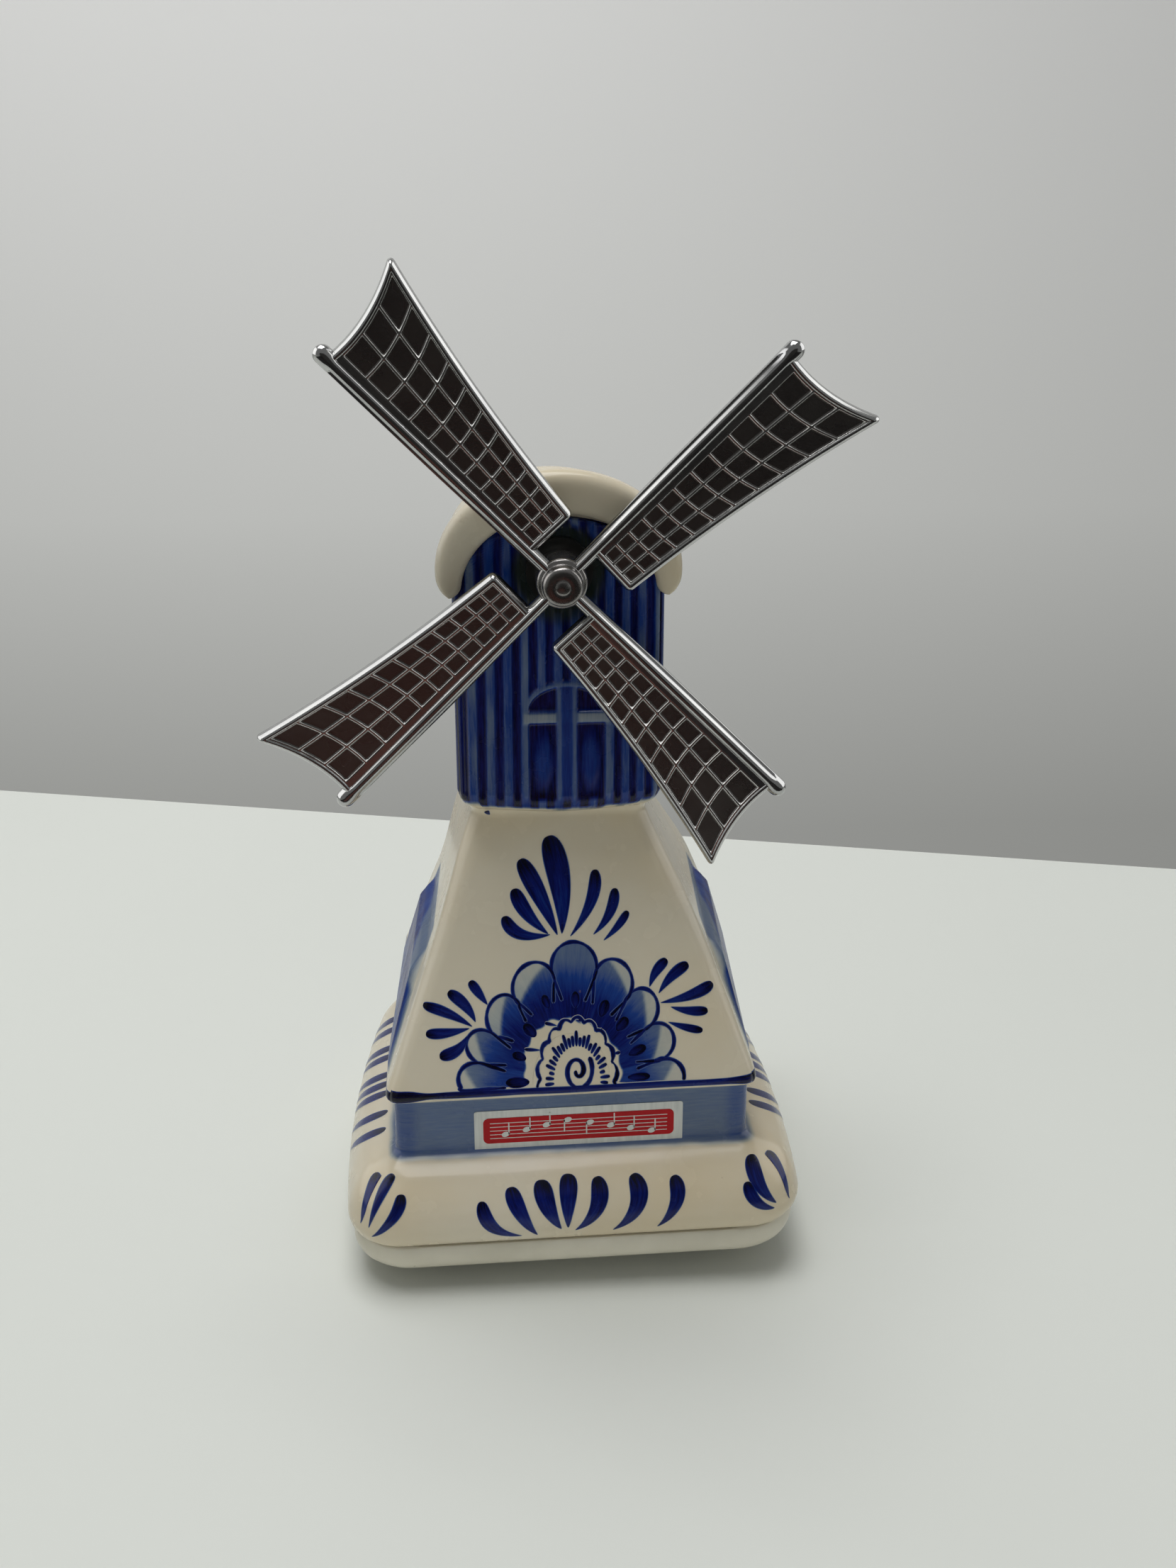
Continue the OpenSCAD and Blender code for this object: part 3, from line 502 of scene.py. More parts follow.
def wash(side, across, z):
    """Pigment of the thin washes: the whole band, the side panels and the house's lower edge."""
    wobble = 0.3 * noise(across * 0.35, side * 3.0, 1)
    band = smooth(BAND_Z - 0.6 + 0.4 * wobble, BAND_Z + 0.3 + 0.4 * wobble, z)
    band = band * smooth(LIP_Z - 0.3, LIP_Z - 0.9, z)
    edge = np.maximum(smooth(BAND_HALF - 5, BAND_HALF - 2.5, np.abs(across)),
                      0.5 * smooth(BAND_Z + 2.5, BAND_Z + 0.6, z))
    band = band * (0.37 + 0.1 * edge)
    panel = panel_mask(across * 0.985, z) * (side % 2) * smooth(LIP_Z + 1.0, LIP_Z + 2.2, z)
    depth = across * (2 - side)
    swipe = smooth(57.0, 55.4, z - 0.25 * depth) * smooth(0.0, 1.5, z - LIP_Z - 1.5)
    swipe = swipe * (1 + 0.7 * smooth(60, 52, z) * smooth(40, 46, z))
    panel = panel * (0.36 + 0.26 * swipe * (0.85 + 0.3 * noise(across * 0.8, z * 0.1, 4)))
    house = smooth(HOUSE_Z - 2.0 + wobble, HOUSE_Z - 1.2 + wobble, z) * 0.85
    return np.maximum(np.maximum(band, panel), house)


lower = lower_body()
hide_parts("ceramic_body")


# ---------------------------------------------------------------- mill house

HOUSE_CORNER = 2.4
BOARD_PITCH = 2.9
DOOR_X, DOOR_HALF, DOOR_TOP, DOOR_SILL = 1.2, 7.5, 108.8, 87.2
DOOR_SPRING = 103.6
LENS_OFFSET, LENS_Z, LENS_HALF, LENS_TALL = 4.1, 94.2, 2.0, 6.2
HOUSE_ARCH = ROOF_RISE - 0.8


def ridges(x, z, seed):
    """Height of the upright boards, from 0 in a groove to 1 on a ridge, with uneven widths."""
    bend = 0.45 * noise(x * 0.16, z * 0.012, seed) + 0.1 * noise(x * 0.4, z * 0.04, seed + 1)
    wave = 0.5 + 0.5 * np.cos(2 * math.pi * ((x + bend) / BOARD_PITCH + 0.12 * seed))
    return smooth(0.1, 0.8, wave)


def box_mask(x, z, x0, x1, z0, z1, soft=0.35):
    """1 inside a rectangle, with soft edges."""
    return (smooth(x0 - soft, x0 + soft, x) * smooth(x1 + soft, x1 - soft, x)
            * smooth(z0 - soft, z0 + soft, z) * smooth(z1 + soft, z1 - soft, z))


def door_arch(x, z, inset):
    """1 inside the door's outline drawn in by inset."""
    half = DOOR_HALF - inset
    rise = DOOR_TOP - inset - DOOR_SPRING
    offset = (x - DOOR_X) / half
    top = DOOR_SPRING + rise * np.sqrt(np.clip(1 - offset ** 2, 0, 1))
    inside = smooth(half + 0.3, half - 0.3, np.abs(x - DOOR_X))
    return inside * smooth(top + 0.3, top - 0.3, z) * smooth(DOOR_SILL - 0.3, DOOR_SILL + 0.3, z)


def front_relief(x, z):
    """Relief in millimetres and pigment of the house's front, with the door in its lower half."""
    board = ridges(x, z, 1)
    relief = 0.55 * board - 0.3
    pigment = mix(0.86, 0.56, smooth(0.25, 0.9, board)) + 0.05 * noise(x * 1.1, z * 0.05, 6)
    pigment = pigment - 0.18 * smooth(0.8, 1.0, board) * smooth(-0.2, 0.7, noise(x * 0.5, z * 0.12, 8))
    outer, inner = door_arch(x, z, 0.0), door_arch(x, z, 0.9)
    relief = mix(relief, 0.42, outer)
    pigment = mix(pigment, 0.42, outer)
    relief = mix(relief, -0.25, inner)
    pigment = mix(pigment, 0.9, inner)
    for side in (-1, 1):
        centre = DOOR_X + side * LENS_OFFSET
        lens = smooth(1.15, 0.25, np.hypot((x - centre) / LENS_HALF, (z - LENS_Z) / LENS_TALL))
        relief = relief + 0.55 * lens * inner
        pigment = pigment - 0.24 * lens * inner
    post = box_mask(x, z, DOOR_X - 1.75, DOOR_X + 1.75, DOOR_SILL, DOOR_TOP - 0.9)
    relief = mix(relief, 0.3, post * outer)
    stripe = smooth(0.55, 1.25, np.abs(x - DOOR_X))
    pigment = mix(pigment, mix(0.68, 0.42, stripe), post * outer)
    bar = box_mask(x, z, DOOR_X - DOOR_HALF, DOOR_X + DOOR_HALF, DOOR_SPRING - 2.2, DOOR_SPRING - 0.2)
    bar = bar * (1 - post * 0.9)
    relief = mix(relief, 0.62, bar * outer)
    pigment = mix(pigment, 0.27, bar * outer)
    hub = np.hypot(x, z - HUB_Z)
    relief = mix(relief, -0.1, smooth(7.6, 6.4, hub))
    pigment = mix(pigment, 0.96, smooth(8.4, 6.8, hub))
    return relief, pigment


def side_relief(x, z):
    """Relief and pigment of the other walls, which have boards alone."""
    board = ridges(x, z, 2)
    return 0.55 * board - 0.3, mix(1.0, 0.6, smooth(0.35, 1.0, board)) + 0.06 * noise(x * 1.1, z * 0.05, 9)


def house_outline(half, front, back, corner, shares, sides):
    """Points of a rounded rectangle and their outward normals, one for each column."""
    reach = np.where(sides % 2 == 0, half, (back - front) / 2) - corner
    depth = np.where(sides % 2 == 0, (back - front) / 2, half)
    across = shares * (reach + corner * math.pi / 4)
    x, drop, turn = along_side(across, reach, corner)
    x, y = quarter_turns(x, drop - depth, sides)
    nx, ny = quarter_turns(np.sin(turn), -np.cos(turn), sides)
    return across, x, y + (front + back) / 2, nx, ny


def house():
    """The mill house as a hollow block with an arched top, boards in relief and a door."""
    sides, shares = side_columns([170, 100, 120, 100])
    foot = [(HOUSE_HALF - 1.9, HOUSE_Z - 3.2, 2.6), (HOUSE_HALF - 1.2, HOUSE_Z - 2.4, 1.4),
            (HOUSE_HALF - 0.6, HOUSE_Z - 1.6, 0.6), (HOUSE_HALF - 0.2, HOUSE_Z - 0.7, 0.2)]
    walls = [(HOUSE_HALF, z, 0.0) for z in np.arange(HOUSE_Z + 0.3, EAVE_Z, 0.36)]
    arch = [(HOUSE_HALF * math.cos(a), EAVE_Z + HOUSE_ARCH * math.sin(a), 0.0)
            for a in np.radians(np.linspace(0, 84, 36))]
    outer = foot + walls + arch
    rows, values = [], []
    for half, z, inset in outer:
        across, x, y, nx, ny = house_outline(half, HOUSE_FRONT + inset, HOUSE_BACK - inset,
                                             min(HOUSE_CORNER, half * 0.8), shares, sides)
        # along the bottom the painted edge hangs lower in the middle of each wall
        sag = -0.9 * smooth(HOUSE_Z + 4, HOUSE_Z - 1, z) * np.cos(across / 17 * math.pi / 2) ** 2
        height = z + sag * (z < HOUSE_Z + 4)
        front, front_pigment = front_relief(x, height)
        other, other_pigment = side_relief(across, height)
        is_front = sides == 0
        relief = np.where(is_front, front, other) * smooth(HOUSE_Z - 0.8, HOUSE_Z + 0.8, z)
        pigment = np.where(is_front, front_pigment, other_pigment)
        edge = HOUSE_Z - 2.1 + 0.5 * noise(across * 0.45, sides * 2.0, 3) + 0.5 * (np.abs(across) > 14)
        pigment = pigment * smooth(edge - 0.35, edge + 0.25, z)
        pigment = pigment + 0.1 * smooth(HOUSE_Z + 2, HOUSE_Z - 1, z) * (z > edge)
        rows.append(np.stack([x + nx * relief, y + ny * relief, height], -1))
        smear = smooth(8.8, 6.6, np.hypot(x, (z - HUB_Z + 0.8) * 0.92)) * is_front * (z > HUB_Z - 10)
        values.append((pigment, across, height, smear))
    inner_top = EAVE_Z + HOUSE_ARCH - WALL
    inner = [(HOUSE_HALF * 0.1, inner_top), (HOUSE_HALF * 0.5, inner_top - 1.6),
             (HOUSE_HALF - WALL, EAVE_Z), (HOUSE_HALF - WALL, HOUSE_Z + 2),
             (HOUSE_HALF - WALL - 1.9, HOUSE_Z - 3.2)]
    for half, z in inner:
        _, x, y, _, _ = house_outline(half, HOUSE_FRONT + WALL, HOUSE_BACK - WALL, min(1.5, half * 0.5),
                                      shares, sides)
        rows.append(np.stack([x, y, 0 * x + z], -1))
        values.append((0 * x, x, 0 * x + z, 0 * x))
    points = np.array(rows)
    pigment, along, height, smear = (np.array([v[k] for v in values]) for k in range(4))
    brush = np.stack([height, along, np.broadcast_to(sides * 5.0, along.shape)], -1)
    shape = Shape()
    shape.add(points, grid_faces(*points.shape[:2], wrap_rows=True, wrap_cols=True),
              pigment=pigment.ravel(), brush=brush.reshape(-1, 3), smear=smear.ravel() * 0.8)
    return shape.build("ceramic_house", GLAZE, "mill")


def ring_sweep(shape, centres, sections, **values):
    """A closed tube: each section is a ring of points, and flat fans close both ends."""
    rings = np.array(sections)
    rows, cols = rings.shape[:2]
    faces = grid_faces(rows, cols, wrap_cols=True)
    ends = rings.reshape(-1, 3)
    faces += [[rows * cols, (c + 1) % cols, c] for c in range(cols)]
    last = (rows - 1) * cols
    faces += [[rows * cols + 1, last + c, last + (c + 1) % cols] for c in range(cols)]
    shape.add(np.vstack([ends, centres[0], centres[1]]), faces, **values)


def roof():
    """The barrel roof and the thick rolled edge that frames its front."""
    shape = Shape()
    around = np.linspace(0, 2 * math.pi, 28, endpoint=False)
    sections = []
    angles = np.radians(np.linspace(-15, 195, 90))
    for k, a in enumerate(angles):
        outer = np.array([RIM_HALF * math.cos(a), RIM_Z + RIM_RISE * math.sin(a)])
        b = math.radians(np.interp(math.degrees(a), [-15, 0, 180, 195], [-3, 9, 171, 183]))
        inner = np.array([(HOUSE_HALF - 1.4) * math.cos(b), EAVE_Z + (ROOF_RISE - 0.3) * math.sin(b)])
        # the ends of the rolled edge are rounded off
        end = min(k, len(angles) - 1 - k)
        swell = math.sqrt(1 - (1 - min(1, (end + 0.3) / 5.0)) ** 2)
        middle, arm = (outer + inner) / 2, (outer - inner) / 2 * swell
        depth = RIM_DEPTH / 2 * mix(0.5, 1, swell)
        y = RIM_FRONT + RIM_DEPTH / 2
        ring = []
        for t in around:
            c, s = math.cos(t), math.sin(t)
            squash = (abs(c) ** 2.6 + abs(s) ** 2.6) ** (-1 / 2.6)
            lean = 0.75 * (1 - s) * (1 - c) * 0.5
            ring.append([*(middle + arm * c * squash), y + depth * s * squash + lean])
        sections.append([[p[0], p[2], p[1]] for p in ring])
    ends = [np.mean(sections[0], axis=0), np.mean(sections[-1], axis=0)]
    ring_sweep(shape, ends, sections, pigment=0.0, stain=1.0)

    half, thick = HOUSE_HALF + 1.1, 1.9
    turns = np.linspace(0, math.pi, 60)

    def vault(inset, angles):
        rise = ROOF_RISE + 0.2 - inset
        return np.stack([(half - inset) * np.cos(angles), EAVE_Z - 0.2 + rise * np.sin(angles)], -1)

    outline = np.concatenate([vault(0, turns), vault(thick, turns[::-1])])
    middle = vault(thick / 2, np.concatenate([turns, turns[::-1]]))
    back = HOUSE_BACK + 0.8
    stations = [(RIM_FRONT + 4, 0.0)] + [(y, 0.0) for y in np.linspace(RIM_FRONT + 5, back - 1.0, 40)]
    stations += [(back - 0.5, 0.12), (back - 0.15, 0.4), (back, 0.75)]
    rings = []
    for y, pinch in stations:
        ring = outline + (middle - outline) * pinch
        rings.append([[p[0], y, p[1]] for p in ring])
    rings = np.array(rings)
    rows, cols = rings.shape[:2]
    faces = [f[::-1] for f in grid_faces(rows, cols, wrap_cols=True)]
    for first, flip in ((0, False), ((rows - 1) * cols, True)):
        for c in range(cols // 2 - 1):
            quad = [first + c, first + c + 1, first + cols - 2 - c, first + cols - 1 - c]
            faces.append(quad if flip else quad[::-1])
    shape.add(rings, faces, pigment=0.0, stain=0.6)
    return shape.build("ceramic_roof", GLAZE, "mill", 50)


for piece in (house(), roof()):
    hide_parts("ceramic_body")


# ---------------------------------------------------------------- brushwork

NECK_RUN = float(run_at(NECK_Z))
LIP_RUN = float(run_at(LIP_Z + 1.2))
BLEED = 0.24


def on_skirt(x, down):
    """The skirt's front, by distance right of the sails' shaft and distance down from the neck."""
    z = np.interp(NECK_RUN - down, RUN, PROFILE[:, 1])
    return 0, x - lean_at(z), NECK_RUN - down - tilt_at(z) * x


def on_base(side):
    """A side of the base, by distance from its middle and distance up from the seam."""
    return lambda across, up: (side, across, up)


def patch(shape, place, x, y, pigment, brush, lift=0.05, **values):
    """A thin closed plate that follows the glaze: x and y are grids of places on it."""
    front = body_point(*place(x, y), lift=lift)
    back = body_point(*place(x, y), lift=-0.3)
    rows, cols = front.shape[:2]
    double = {k: np.concatenate([v.ravel(), v.ravel()]) for k, v in values.items()}
    shape.add(np.concatenate([front.reshape(-1, 3), back.reshape(-1, 3)]), plate_faces(rows, cols),
              pigment=np.concatenate([pigment.ravel()] * 2),
              brush=np.concatenate([brush.reshape(-1, 3)] * 2), **double)


def ribbon(shape, place, path, widths, load, seed=0.0, lift=0.05, cols=13, ground=0.0):
    """A strip of paint along a path, as wide as widths says. It is slightly domed, and its edges
    fade to the ground's pigment where the paint has bled into the glaze."""
    path = np.asarray(path, float)
    along = np.gradient(path, axis=0)
    along /= np.maximum(np.linalg.norm(along, axis=1), 1e-9)[:, None]
    normal = np.stack([-along[:, 1], along[:, 0]], -1)
    s = np.sin(np.linspace(-math.pi / 2, math.pi / 2, cols))
    half = widths[:, None] / 2 + BLEED / 2
    x = path[:, :1] + normal[:, :1] * s * half
    y = path[:, 1:] + normal[:, 1:] * s * half
    length = np.concatenate([[0], np.cumsum(np.linalg.norm(np.diff(path, axis=0), axis=1))])
    t = length / length[-1]
    middle = (1 - s ** 2) * np.interp(t, [0, 0.35, 0.75, 1], [0, 0.5, 1, 0.6])[:, None]
    pigment = load + 0.12 * (smooth(0.3, 0.0, t) + smooth(0.88, 1.0, t))[:, None] - 0.14 * middle
    pigment = mix(ground, pigment, smooth(0, BLEED, (1 - np.abs(s)) * half))
    brush = np.stack([length[:, None] + 0 * x, s * half, seed + 0 * x], -1)
    patch(shape, place, x, y, pigment, brush, lift + 0.03 * (1 - s ** 2) * np.minimum(widths, 1)[:, None])


def stroke(shape, place, start, bend, end, width, load=0.9, head=0.55, taper=0.75, ground=0.0):
    """One press of a round brush: it lands round at start, passes bend and leaves pointed at end."""
    start, bend, end = (np.array(p, float) for p in (start, bend, end))
    control = 2 * bend - (start + end) / 2
    t = (1 - np.cos(np.linspace(0, math.pi, 34))) / 2
    path = ((1 - t) ** 2)[:, None] * start + (2 * t * (1 - t))[:, None] * control + (t ** 2)[:, None] * end
    widths = width * np.maximum(np.sin(math.pi * np.clip(t, 0, 1) ** head), 0) ** taper
    ribbon(shape, place, path, widths, load, seed=float(start[0] * 3.7 + start[1] * 1.3), ground=ground)


def line(shape, place, points, width, load=0.97, swell=0.15, step=0.35, ground=0.0):
    """A thin brush line through points, a little uneven in width and round at its ends."""
    length, path = resample(np.array(points, float), step)
    uneven = 1 + swell * noise(length * 1.1, np.full(length.shape, float(points[0][0])), 2)
    ends = np.sqrt(np.clip(np.minimum(length, length[-1] - length) / (width / 2) + 0.05, 0, 1))
    ribbon(shape, place, path, width * uneven * ends, load, seed=float(points[0][1]), cols=9, ground=ground)


def strokes(name, place, shapes):
    """A piece made of strokes, each given by its start, bend, end and width."""
    shape = Shape()
    for start, bend, end, width in shapes:
        stroke(shape, place, start, bend, end, width)
    return shape.build(name, GLAZE, "mill")


def top_leaves():
    """The seven leaves under the neck: start, bend, end and width of each, in millimetres."""
    return strokes("paint_top_leaves", on_skirt, [
        ((-2.1, 4.0), (-0.2, 12.6), (-0.1, 21.4), 4.3),
        ((-7.2, 8.0), (-3.9, 14.6), (-0.9, 21.6), 3.2),
        ((-8.4, 13.2), (-6.2, 17.6), (-2.5, 21.4), 2.6),
        ((-10.2, 18.0), (-7.6, 21.2), (-2.2, 21.5), 2.3),
        ((6.0, 10.2), (5.2, 15.8), (1.4, 21.9), 2.2),
        ((9.5, 13.6), (8.5, 17.9), (5.5, 21.7), 1.9),
        ((11.7, 17.7), (9.9, 20.3), (7.3, 22.8), 1.4),
    ])


def side_sprays():
    """Five leaves on each side of the flower."""
    return strokes("paint_sprays", on_skirt, [
        ((-16.6, 29.3), (-15.1, 31.5), (-13.6, 33.6), 1.7),
        ((-20.5, 31.1), (-17.6, 33.6), (-15.8, 36.6), 2.1),
        ((-25.0, 33.3), (-20.5, 35.0), (-16.4, 37.4), 1.9),
        ((-24.6, 38.4), (-21.0, 38.4), (-16.9, 37.7), 1.9),
        ((-22.3, 42.5), (-19.2, 41.5), (-17.2, 38.9), 2.2),
        ((18.5, 26.5), (16.5, 28.6), (15.3, 31.3), 1.8),
        ((22.3, 27.4), (19.4, 29.4), (16.9, 32.5), 2.0),
        ((26.5, 30.9), (22.9, 32.9), (17.2, 34.2), 2.1),
        ((25.6, 35.8), (22.4, 35.8), (19.0, 35.0), 1.7),
        ((24.6, 39.4), (21.5, 38.7), (18.5, 37.7), 1.4),
    ])


FLOWER = np.array([1.0, 47.6])
FLOWER_SIZE = np.array([20.1, 24.7])
HEART = np.array([2.0, 47.6])
PETAL_ANGLES = np.radians([0.7, 17.9, 38.4, 59.3, 87.1, 113.8, 143.4, 162.0, 177.5])
PETAL_REACH = np.array([1.0, 0.962, 0.958, 0.965, 1.0, 0.925, 0.904, 0.966, 1.0])
PETAL_GAPS = np.concatenate([[-0.15], (PETAL_ANGLES[1:] + PETAL_ANGLES[:-1]) / 2, [math.pi + 0.1]])
FLOWER_FOOT = 48.9


def flower_place(angle, reach):
    """A place on the skirt from an angle up from the right and a share of the flower's radius."""
    return (FLOWER[0] + FLOWER_SIZE[0] * reach * np.cos(angle),
            FLOWER[1] - FLOWER_SIZE[1] * reach * np.sin(angle))


def around_heart(width, height, angle):
    """Places on an oval round the flower's heart."""
    return HEART + np.stack([width * np.cos(angle), -height * np.sin(angle)], -1)


def petal_edge(petal, share):
    """How far a petal reaches at a share of its half width from its middle."""
    return PETAL_REACH[petal] * (0.8 + 0.2 * np.sqrt(np.clip(1 - share ** 2, 0, 1)))


def heart_reach(angle):
    """Outline of the bare heart of the flower, which bulges out in an uneven way."""
    return 0.42 + 0.05 * np.sin(angle) ** 2 + 0.03 * np.sin(3 * angle + 0.6) + 0.012 * np.sin(17 * angle)


def flower_wash():
    """The blue washes inside the petals: deep near the heart, thinner outside, with paler tips."""
    shape = Shape()
    angle = np.linspace(math.radians(-3.2), math.radians(183.2), 340)[:, None]
    petal = np.clip(np.searchsorted(PETAL_GAPS, angle) - 1, 0, len(PETAL_ANGLES) - 1)
    low, high = PETAL_GAPS[petal], PETAL_GAPS[petal + 1]
    share = (2 * angle - low - high) / (high - low)
    reach = mix(0.34, petal_edge(petal, share) + 0.012, np.linspace(0, 1, 90)[None, :])
    rank = petal - 4.0
    inside = smooth(0.012, -0.012, reach - petal_edge(petal, share))
    # each pale tip is cut on a slant, on the side away from the flower's middle
    slant = -np.sign(rank) * share / 2
    bare = (0.87 + 0.2 * slant + 0.03 * np.sin(rank * 5)) * PETAL_REACH[petal]
    bare = bare + 0.24 * np.exp(-(rank / 0.6) ** 2)
    thin = mix(0.28, 1, smooth(bare + 0.03, bare - 0.03, reach))
    tip = smooth(0.98, 0.72, reach - 0.06 * slant)
    deep = smooth(0.9, 0.62, reach + 0.1 * slant + 0.02 * noise(angle * 9, reach * 9, 3))
    core = smooth(0.74, 0.56, reach + 0.04 * noise(angle * 7, reach * 5, 5))
    pigment = thin * (0.38 + 0.1 * tip + 0.04 * noise(angle * 7, reach * 7, 7) + 0.22 * deep) + 0.12 * core
    pigment = pigment * mix(1, 0.78, smooth(2.4, 3.9, np.abs(rank))) * inside
    heart = heart_reach(angle)
    pigment = pigment * smooth(heart - 0.012, heart + 0.012, reach)
    x, y = flower_place(angle, reach)
    y = np.minimum(y, FLOWER_FOOT - 0.2)
    brush = np.stack([reach * 22 + 0 * angle, angle * 10 + 0 * reach, 0 * x + petal], -1)
    patch(shape, on_skirt, x, y, pigment, brush, lift=0.02)
    return shape.build("paint_flower_wash", GLAZE, "mill")


def flower_lines():
    """Outlines of the petals, seeds, the ring round the heart, its dashes and the spiral."""
    shape = Shape()
    for k, (low, high) in enumerate(zip(PETAL_GAPS, PETAL_GAPS[1:])):
        shares = np.concatenate([[-0.7, -0.9], np.sin(np.linspace(-1, 1, 15) * math.pi / 2), [0.9, 0.7]])
        reaches = np.concatenate([[0.58, 0.7], petal_edge(k, shares[2:-2]), [0.7, 0.58]])
        angles = (low + high) / 2 + shares * (high - low) / 2 * 1.03
        x, y = flower_place(angles, reaches)
        points = np.stack([x, y], -1)[y < FLOWER_FOOT]
        line(shape, on_skirt, points, 0.5 + 0.12 * (k in (0, 8)), swell=0.4, ground=0.34)
    for seed, length, width in [
            ((2.0, 33.2), 3.0, 1.5), ((7.0, 34.9), 3.2, 1.9), ((10.2, 37.8), 3.0, 2.0),
            ((12.8, 42.6), 3.4, 1.8), ((13.0, 47.3), 4.0, 1.5), ((-3.2, 33.4), 2.6, 1.5),
            ((-6.2, 38.4), 3.0, 1.9), ((-8.2, 43.0), 2.6, 1.6), ((-8.6, 47.6), 4.2, 1.9)]:
        seed = np.array(seed)
        out = (seed - HEART) / np.linalg.norm(seed - HEART) * length / 2
        stroke(shape, on_skirt, seed + out, seed, seed - out, width, load=1.0, head=0.85, taper=0.6,
               ground=0.66)
    angles = np.radians(np.linspace(-6, 186, 150))
    waves = np.abs(np.sin(angles * 9 + 0.4)) ** 0.8
    ring = around_heart(6.5 + 0.7 * waves, 10.4 + 0.9 * waves, angles)
    line(shape, on_skirt, ring[ring[:, 1] < FLOWER_FOOT], 0.58, swell=0.6, step=0.2)
    for k, a in enumerate(np.radians(np.linspace(-4, 184, 25))):
        wide = 1 + 0.08 * math.sin(k * 2.2)
        start, end = around_heart(5.5 * wide, 8.3 * wide, a), around_heart(4.1, 6.1, a)
        stroke(shape, on_skirt, start, (start + end) / 2, end, 0.62, load=0.95, head=0.8, taper=0.4)
    for a in np.radians([24, 52, 80, 118, 150]):
        start = np.array(flower_place(a, float(heart_reach(a)) + 0.01))
        end = around_heart(7.2, 11.2, a)
        stroke(shape, on_skirt, start, (start + end) / 2, end, 0.6, load=0.95)
    turns = np.linspace(0, 3.3 * math.pi, 60)
    grow = 0.3 + 0.34 * turns
    spiral = around_heart(0.72 * grow, grow, turns + 2.9) + np.array([0.1, -1.7])
    line(shape, on_skirt, spiral[spiral[:, 1] < FLOWER_FOOT], 0.75, swell=0.25, step=0.2)
    return shape.build("paint_flower_lines", GLAZE, "mill")


def lip_line():
    """The dark line along the skirt's lip, with a thick end at each corner."""
    shape = Shape()
    for side in range(4):
        reach = LIP_HALF - LIP_CORNER + LIP_CORNER * math.pi / 4
        across = np.linspace(-reach, reach, 90)
        rise = LIP_RUN + 0.12 * noise(across * 0.12, across * 0 + side, 3)
        widths = 1.1 + 0.2 * noise(across * 0.2, across * 0 + side * 2.0, 5)
        widths += smooth(7.5 - reach, 3 - reach, across) + 0.5 * smooth(reach - 5, reach - 1, across)
        ribbon(shape, on_base(side), np.stack([across, rise], -1), widths, 0.9, seed=side * 4.0)
    return shape.build("paint_lip_line", GLAZE, "mill")


def base_strokes():
    """Comma strokes round the base: seven in front and behind, three on each corner, a row on each side."""
    shape = Shape()
    commas = [
        ((-17.0, 9.4), (-15.2, 4.6), (-10.0, 2.2), 2.5),
        ((-11.8, 11.6), (-10.2, 7.0), (-7.2, 2.2), 2.9),
        ((-6.2, 12.6), (-5.3, 7.9), (-2.9, 3.4), 3.4),
        ((-1.2, 13.4), (-1.6, 8.8), (-1.7, 3.6), 3.2),
        ((3.6, 12.6), (3.6, 7.3), (-0.4, 2.9), 3.1),
        ((10.1, 12.7), (10.8, 7.3), (6.4, 2.4), 3.2),
        ((17.3, 12.0), (17.8, 7.4), (14.4, 2.6), 2.7),
    ]
    corners = [
        ((-32.2, 14.8), (-35.2, 10.4), (-37.6, 4.7), 1.7),
        ((-31.2, 11.4), (-32.6, 7.6), (-37.0, 3.0), 2.1),
        ((32.0, 14.9), (32.6, 10.0), (36.2, 5.4), 2.8),
        ((30.6, 10.2), (32.2, 6.6), (35.8, 4.6), 2.2),
    ]
    for side in (0, 2):
        for start, bend, end, width in commas + corners:
            stroke(shape, on_base(side), start, bend, end, width)
    rows = {3: (21.5, 15.5, 8.3, 4.8, 1.2, -5.8, -9.4, -17.0, -21.5),
            1: (-19.0, -14.5, -7.0, -3.2, 0.6, 7.8, 11.6, 19.0)}
    for side, places in rows.items():
        lean = 1 if side == 3 else -1
        for across in places:
            bend, end = (across - 2.2 * lean, 11.4), (across - 6.5 * lean, 5.6)
            stroke(shape, on_base(side), (across, 16.6), bend, end, 2.3, load=0.86)
        for hand in (-1, 1):
            bend, end = (hand * 36.8, 10.0), (hand * 37.9, 4.8)
            stroke(shape, on_base(side), (hand * 33.4, 13.8), bend, end, 2.1, load=0.88)
    return shape.build("paint_base_strokes", GLAZE, "mill")


def neck_dot():
    """A drop of blue that fell on the neck, left of its middle."""
    shape = Shape()
    stroke(shape, on_skirt, (-13.0, -0.9), (-12.7, -0.5), (-12.3, -0.1), 0.9, load=0.95)
    return shape.build("paint_neck_dot", GLAZE, "mill")


for paint in (top_leaves, side_sprays, flower_wash, flower_lines, lip_line, base_strokes, neck_dot):
    paint()


# ---------------------------------------------------------------- label

def slab(shape, outline, y0, y1, **values):
    """A flat plate facing the front: its outline runs anticlockwise as seen from there."""
    n = len(outline)
    ring = [[x, y, z + tilt_at(z) * x] for y in (y0, y1) for x, z in outline]
    faces = [list(range(n)), [2 * n - 1 - k for k in range(n)]]
    faces += [[k, k + n, (k + 1) % n + n, (k + 1) % n] for k in range(n)]
    shape.add(ring, faces, **values)


def round_rect(cx, cz, w, h, r, steps=6):
    """Outline of a rectangle with round corners."""
    points = []
    for sx, sz, first in ((1, 1, 0), (-1, 1, 90), (-1, -1, 180), (1, -1, 270)):
        x, z = cx + sx * (w / 2 - r), cz + sz * (h / 2 - r)
        for a in np.radians(first + np.linspace(0, 90, steps)):
            points.append((x + r * math.cos(a), z + r * math.sin(a)))
    return points


